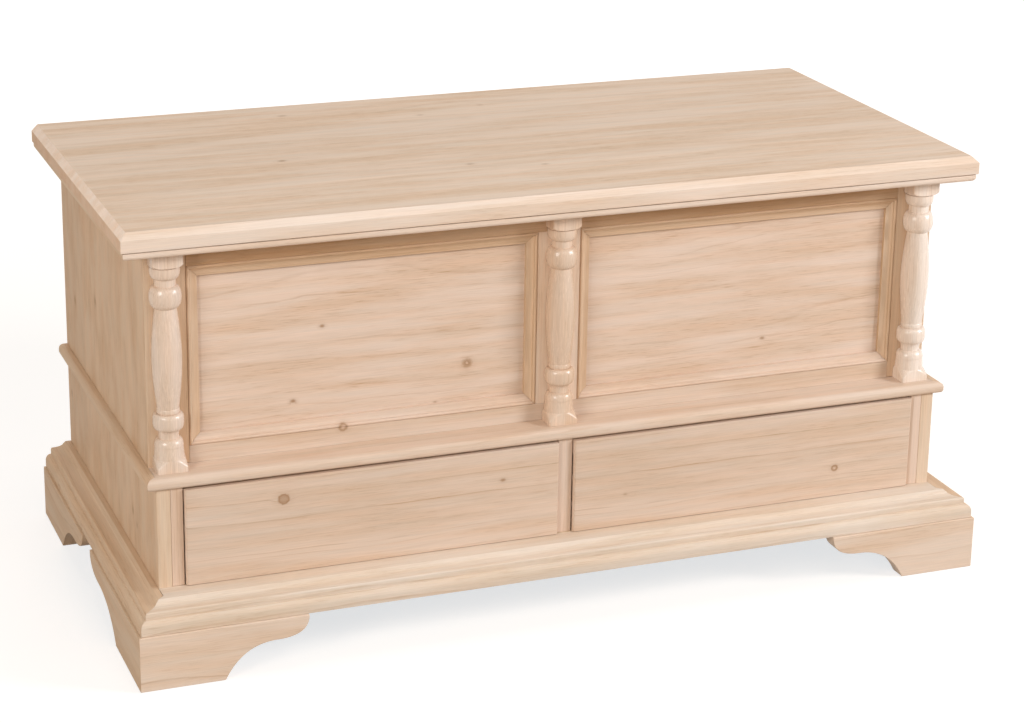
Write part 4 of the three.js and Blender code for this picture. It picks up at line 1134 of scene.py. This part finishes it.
# Columns, in metres: how far their axis stands before the stiles, how much is taken off a block's
# corners, and how far apart two levels at one height are drawn
COLUMN_STAND_OFF = 0.008
BLOCK_CORNER = 0.0007
APART = 1e-5

# Heights of the turned forms, as shares of the height between the foot block and the head block
COLUMN_SHARES = {
    "bell_top": 0.059,
    "torus_foot": 0.0605,
    "torus_wide": 0.064,
    "torus_top": 0.104,
    "cup_foot": 0.115,
    "cup_turn": 0.1506,
    "cup_wide": 0.1864,
    "cup_shoulder": 0.2043,
    "cup_top": 0.2347,
    "ring_top": 0.2602,
    "belly": 0.5239,
    "shaft_top": 0.7832,
    "ball_top": 0.8972,
    "neck_top": 0.9329,
    "collar_wide": 0.9776,
    "collar_top": 0.9937,
}

# Knots: kind, place on the chest in metres, radius in millimetres, and how strong it shows
KNOTS = {
    "drawer_left_front": (
        ("disc", (-0.3437, -0.2182, 0.1862), 5.7, 1.0),
        ("eye", (-0.0799, -0.2182, 0.1745), 2.0, 0.75),
    ),
    "drawer_right_front": (
        ("ringed", (0.3543, -0.2182, 0.1332), 3.5, 1.0),
        ("eye", (0.0756, -0.2182, 0.1361), 1.5, 0.4),
    ),
    "front_rail_bottom": (("ringed", (-0.2619, -0.1797, 0.2487), 4.4, 0.85),),
    "front_panel_left": (
        ("haloed", (-0.1090, -0.1717, 0.3064), 5.0, 0.95),
        ("eye", (-0.2836, -0.1717, 0.3704), 1.9, 0.8),
        ("eye", (-0.3184, -0.1717, 0.2844), 2.1, 0.85),
        ("eye", (-0.1480, -0.1717, 0.2628), 1.4, 0.5),
    ),
    "front_panel_right": (("eye", (0.2708, -0.1717, 0.2954), 2.0, 0.7),),
    "lid_board": (
        ("eye", (-0.2770, 0.0073, 0.5160), 3.0, 0.7),
        ("eye", (-0.2178, 0.2130, 0.5160), 3.4, 0.4),
        ("eye", (-0.0714, -0.0722, 0.5160), 3.0, 0.45),
        ("eye", (0.0126, -0.0990, 0.5160), 2.4, 0.4),
        ("eye", (-0.0515, 0.1661, 0.5160), 2.6, 0.35),
        ("eye", (0.0386, 0.1922, 0.5160), 2.4, 0.35),
    ),
    "side_left": (
        ("eye", (-0.4885, 0.2031, 0.3047), 3.4, 0.75),
        ("eye", (-0.4885, 0.0814, 0.3417), 3.4, 0.7),
        ("eye", (-0.4885, 0.2453, 0.1673), 3.0, 0.6),
        ("eye", (-0.4885, -0.0928, 0.1425), 3.0, 0.7),
        ("eye", (-0.4885, -0.1116, 0.1314), 2.4, 0.6),
    ),
}

# How the boards' colours are scaled in red, green and blue. Some are the boards' own tone; others paint light
# or shade into the colour, as said at each.
LID_TONE = (1.04, 1.085, 1.09)
# Painted light: the lid's front and back faces and the top frame's front are lighter, as where the light
# falls full on them
EDGE_PAINTED_LIGHT = (1.1, 1.17, 1.22)
# Painted highlight: the bevels at the lid's ends are much lighter, as where they catch the light
BEVEL_PAINTED_HIGHLIGHT = (1.26, 1.34, 1.42)
# Painted shade: the lid's ends are darker and warmer, as on the side away from the main lamp
LID_END_PAINTED_SHADE = (1.0, 0.92, 0.82)
WAIST_TONE = (1.0, 1.03, 1.04)
PLINTH_TONE = (1.02, 1.12, 1.17)
# Painted shade: the side lengths of the mouldings are darker and warmer than their fronts
SIDE_LENGTH_PAINTED_SHADE = (0.97, 0.94, 0.84)
FRONT_FOOT_TONE = (1.06, 1.1, 1.11)
# Painted shade: the feet's side boards are darker and warmer than the front boards
SIDE_FOOT_PAINTED_SHADE = (0.92, 0.89, 0.79)
PANEL_TONE = (1.0, 1.02, 1.04)
RAIL_TONE = (0.96, 0.99, 1.0)
# Partly painted shade: the stiles are darker and more golden, as in the shade beside the columns
STILE_TONE_AND_PAINTED_SHADE = (0.94, 0.87, 0.74)
# Painted shade: the upright panel mouldings are darker and more golden, as in shade beside the panels
UPRIGHT_MOULDING_PAINTED_SHADE = (0.98, 0.92, 0.8)
# Painted shade: the top lengths of the panel mouldings are darker and golden, as under the lid
TOP_MOULDING_PAINTED_SHADE = (0.93, 0.86, 0.73)
# Painted shade: the faces of the upright mouldings that look to the panel are much darker
INNER_EDGE_PAINTED_SHADE = (0.84, 0.76, 0.6)
# Painted shade: the top rail is darker and more golden, as in the shadow under the lid
TOP_RAIL_PAINTED_SHADE = (0.84, 0.74, 0.59)
# Painted light: the muntin is made lighter, against the shadow that the middle column casts on it
MUNTIN_PAINTED_LIGHT = (1.12, 1.15, 1.14)
# Painted light and shade: each column has its own tone, the middle one darker as painted shade and the outer
# ones paler as painted light
COLUMN_PAINTED_LIGHT_AND_SHADE = {"left": (1.06, 1.11, 1.15), "middle": (1.0, 0.99, 0.95), "right": (1.14, 1.25, 1.34)}
DRAWER_TONE = (0.975, 0.99, 0.99)
# Partly the boards' own tone and partly painted shade: the side boards are darker and warmer, as on a side
# away from the main lamp
SIDE_TONE_AND_PAINTED_SHADE = (0.955, 0.895, 0.775)
SIDE_EDGE_TONE = (1.0, 1.0, 0.93)

PIECES = (CaseBoards, UpperFront, TurnedColumns, Mouldings, BracketFeet, Lid, Drawers, Hinges, Stage)


class MuleChestPanel(bpy.types.Panel):
    """Lists the pieces and their settings"""

    bl_label = "Mule Chest"
    bl_idname = "VIEW3D_PT_mule_chest"
    bl_space_type = "VIEW_3D"
    bl_region_type = "UI"
    bl_category = "Mule Chest"

    def draw(self, context):
        settings = context.scene.mule_chest
        for group in (settings.pine, settings.mouldings, settings.columns, settings.stage):
            box = self.layout.box()
            for key in group.__annotations__:
                box.prop(group, key)
        for operator in PIECES:
            self.layout.operator(operator.bl_idname)


CLASSES = (
    PineFinish, MouldingSizes, ColumnSizes, StageSettings, MuleChestSettings, *PIECES, MuleChestPanel,
)


def register():
    for cls in CLASSES:
        bpy.utils.register_class(cls)
    bpy.types.Scene.mule_chest = PointerProperty(type=MuleChestSettings)


def unregister():
    del bpy.types.Scene.mule_chest
    for cls in reversed(CLASSES):
        bpy.utils.unregister_class(cls)


def main():
    register()
    for operator in PIECES:
        call = getattr(bpy.ops.mule_chest, operator.bl_idname.split(".")[1])
        if call() != {"FINISHED"}:
            raise RuntimeError(operator.bl_label + " wasn't made")


if __name__ == "__main__":
    main()
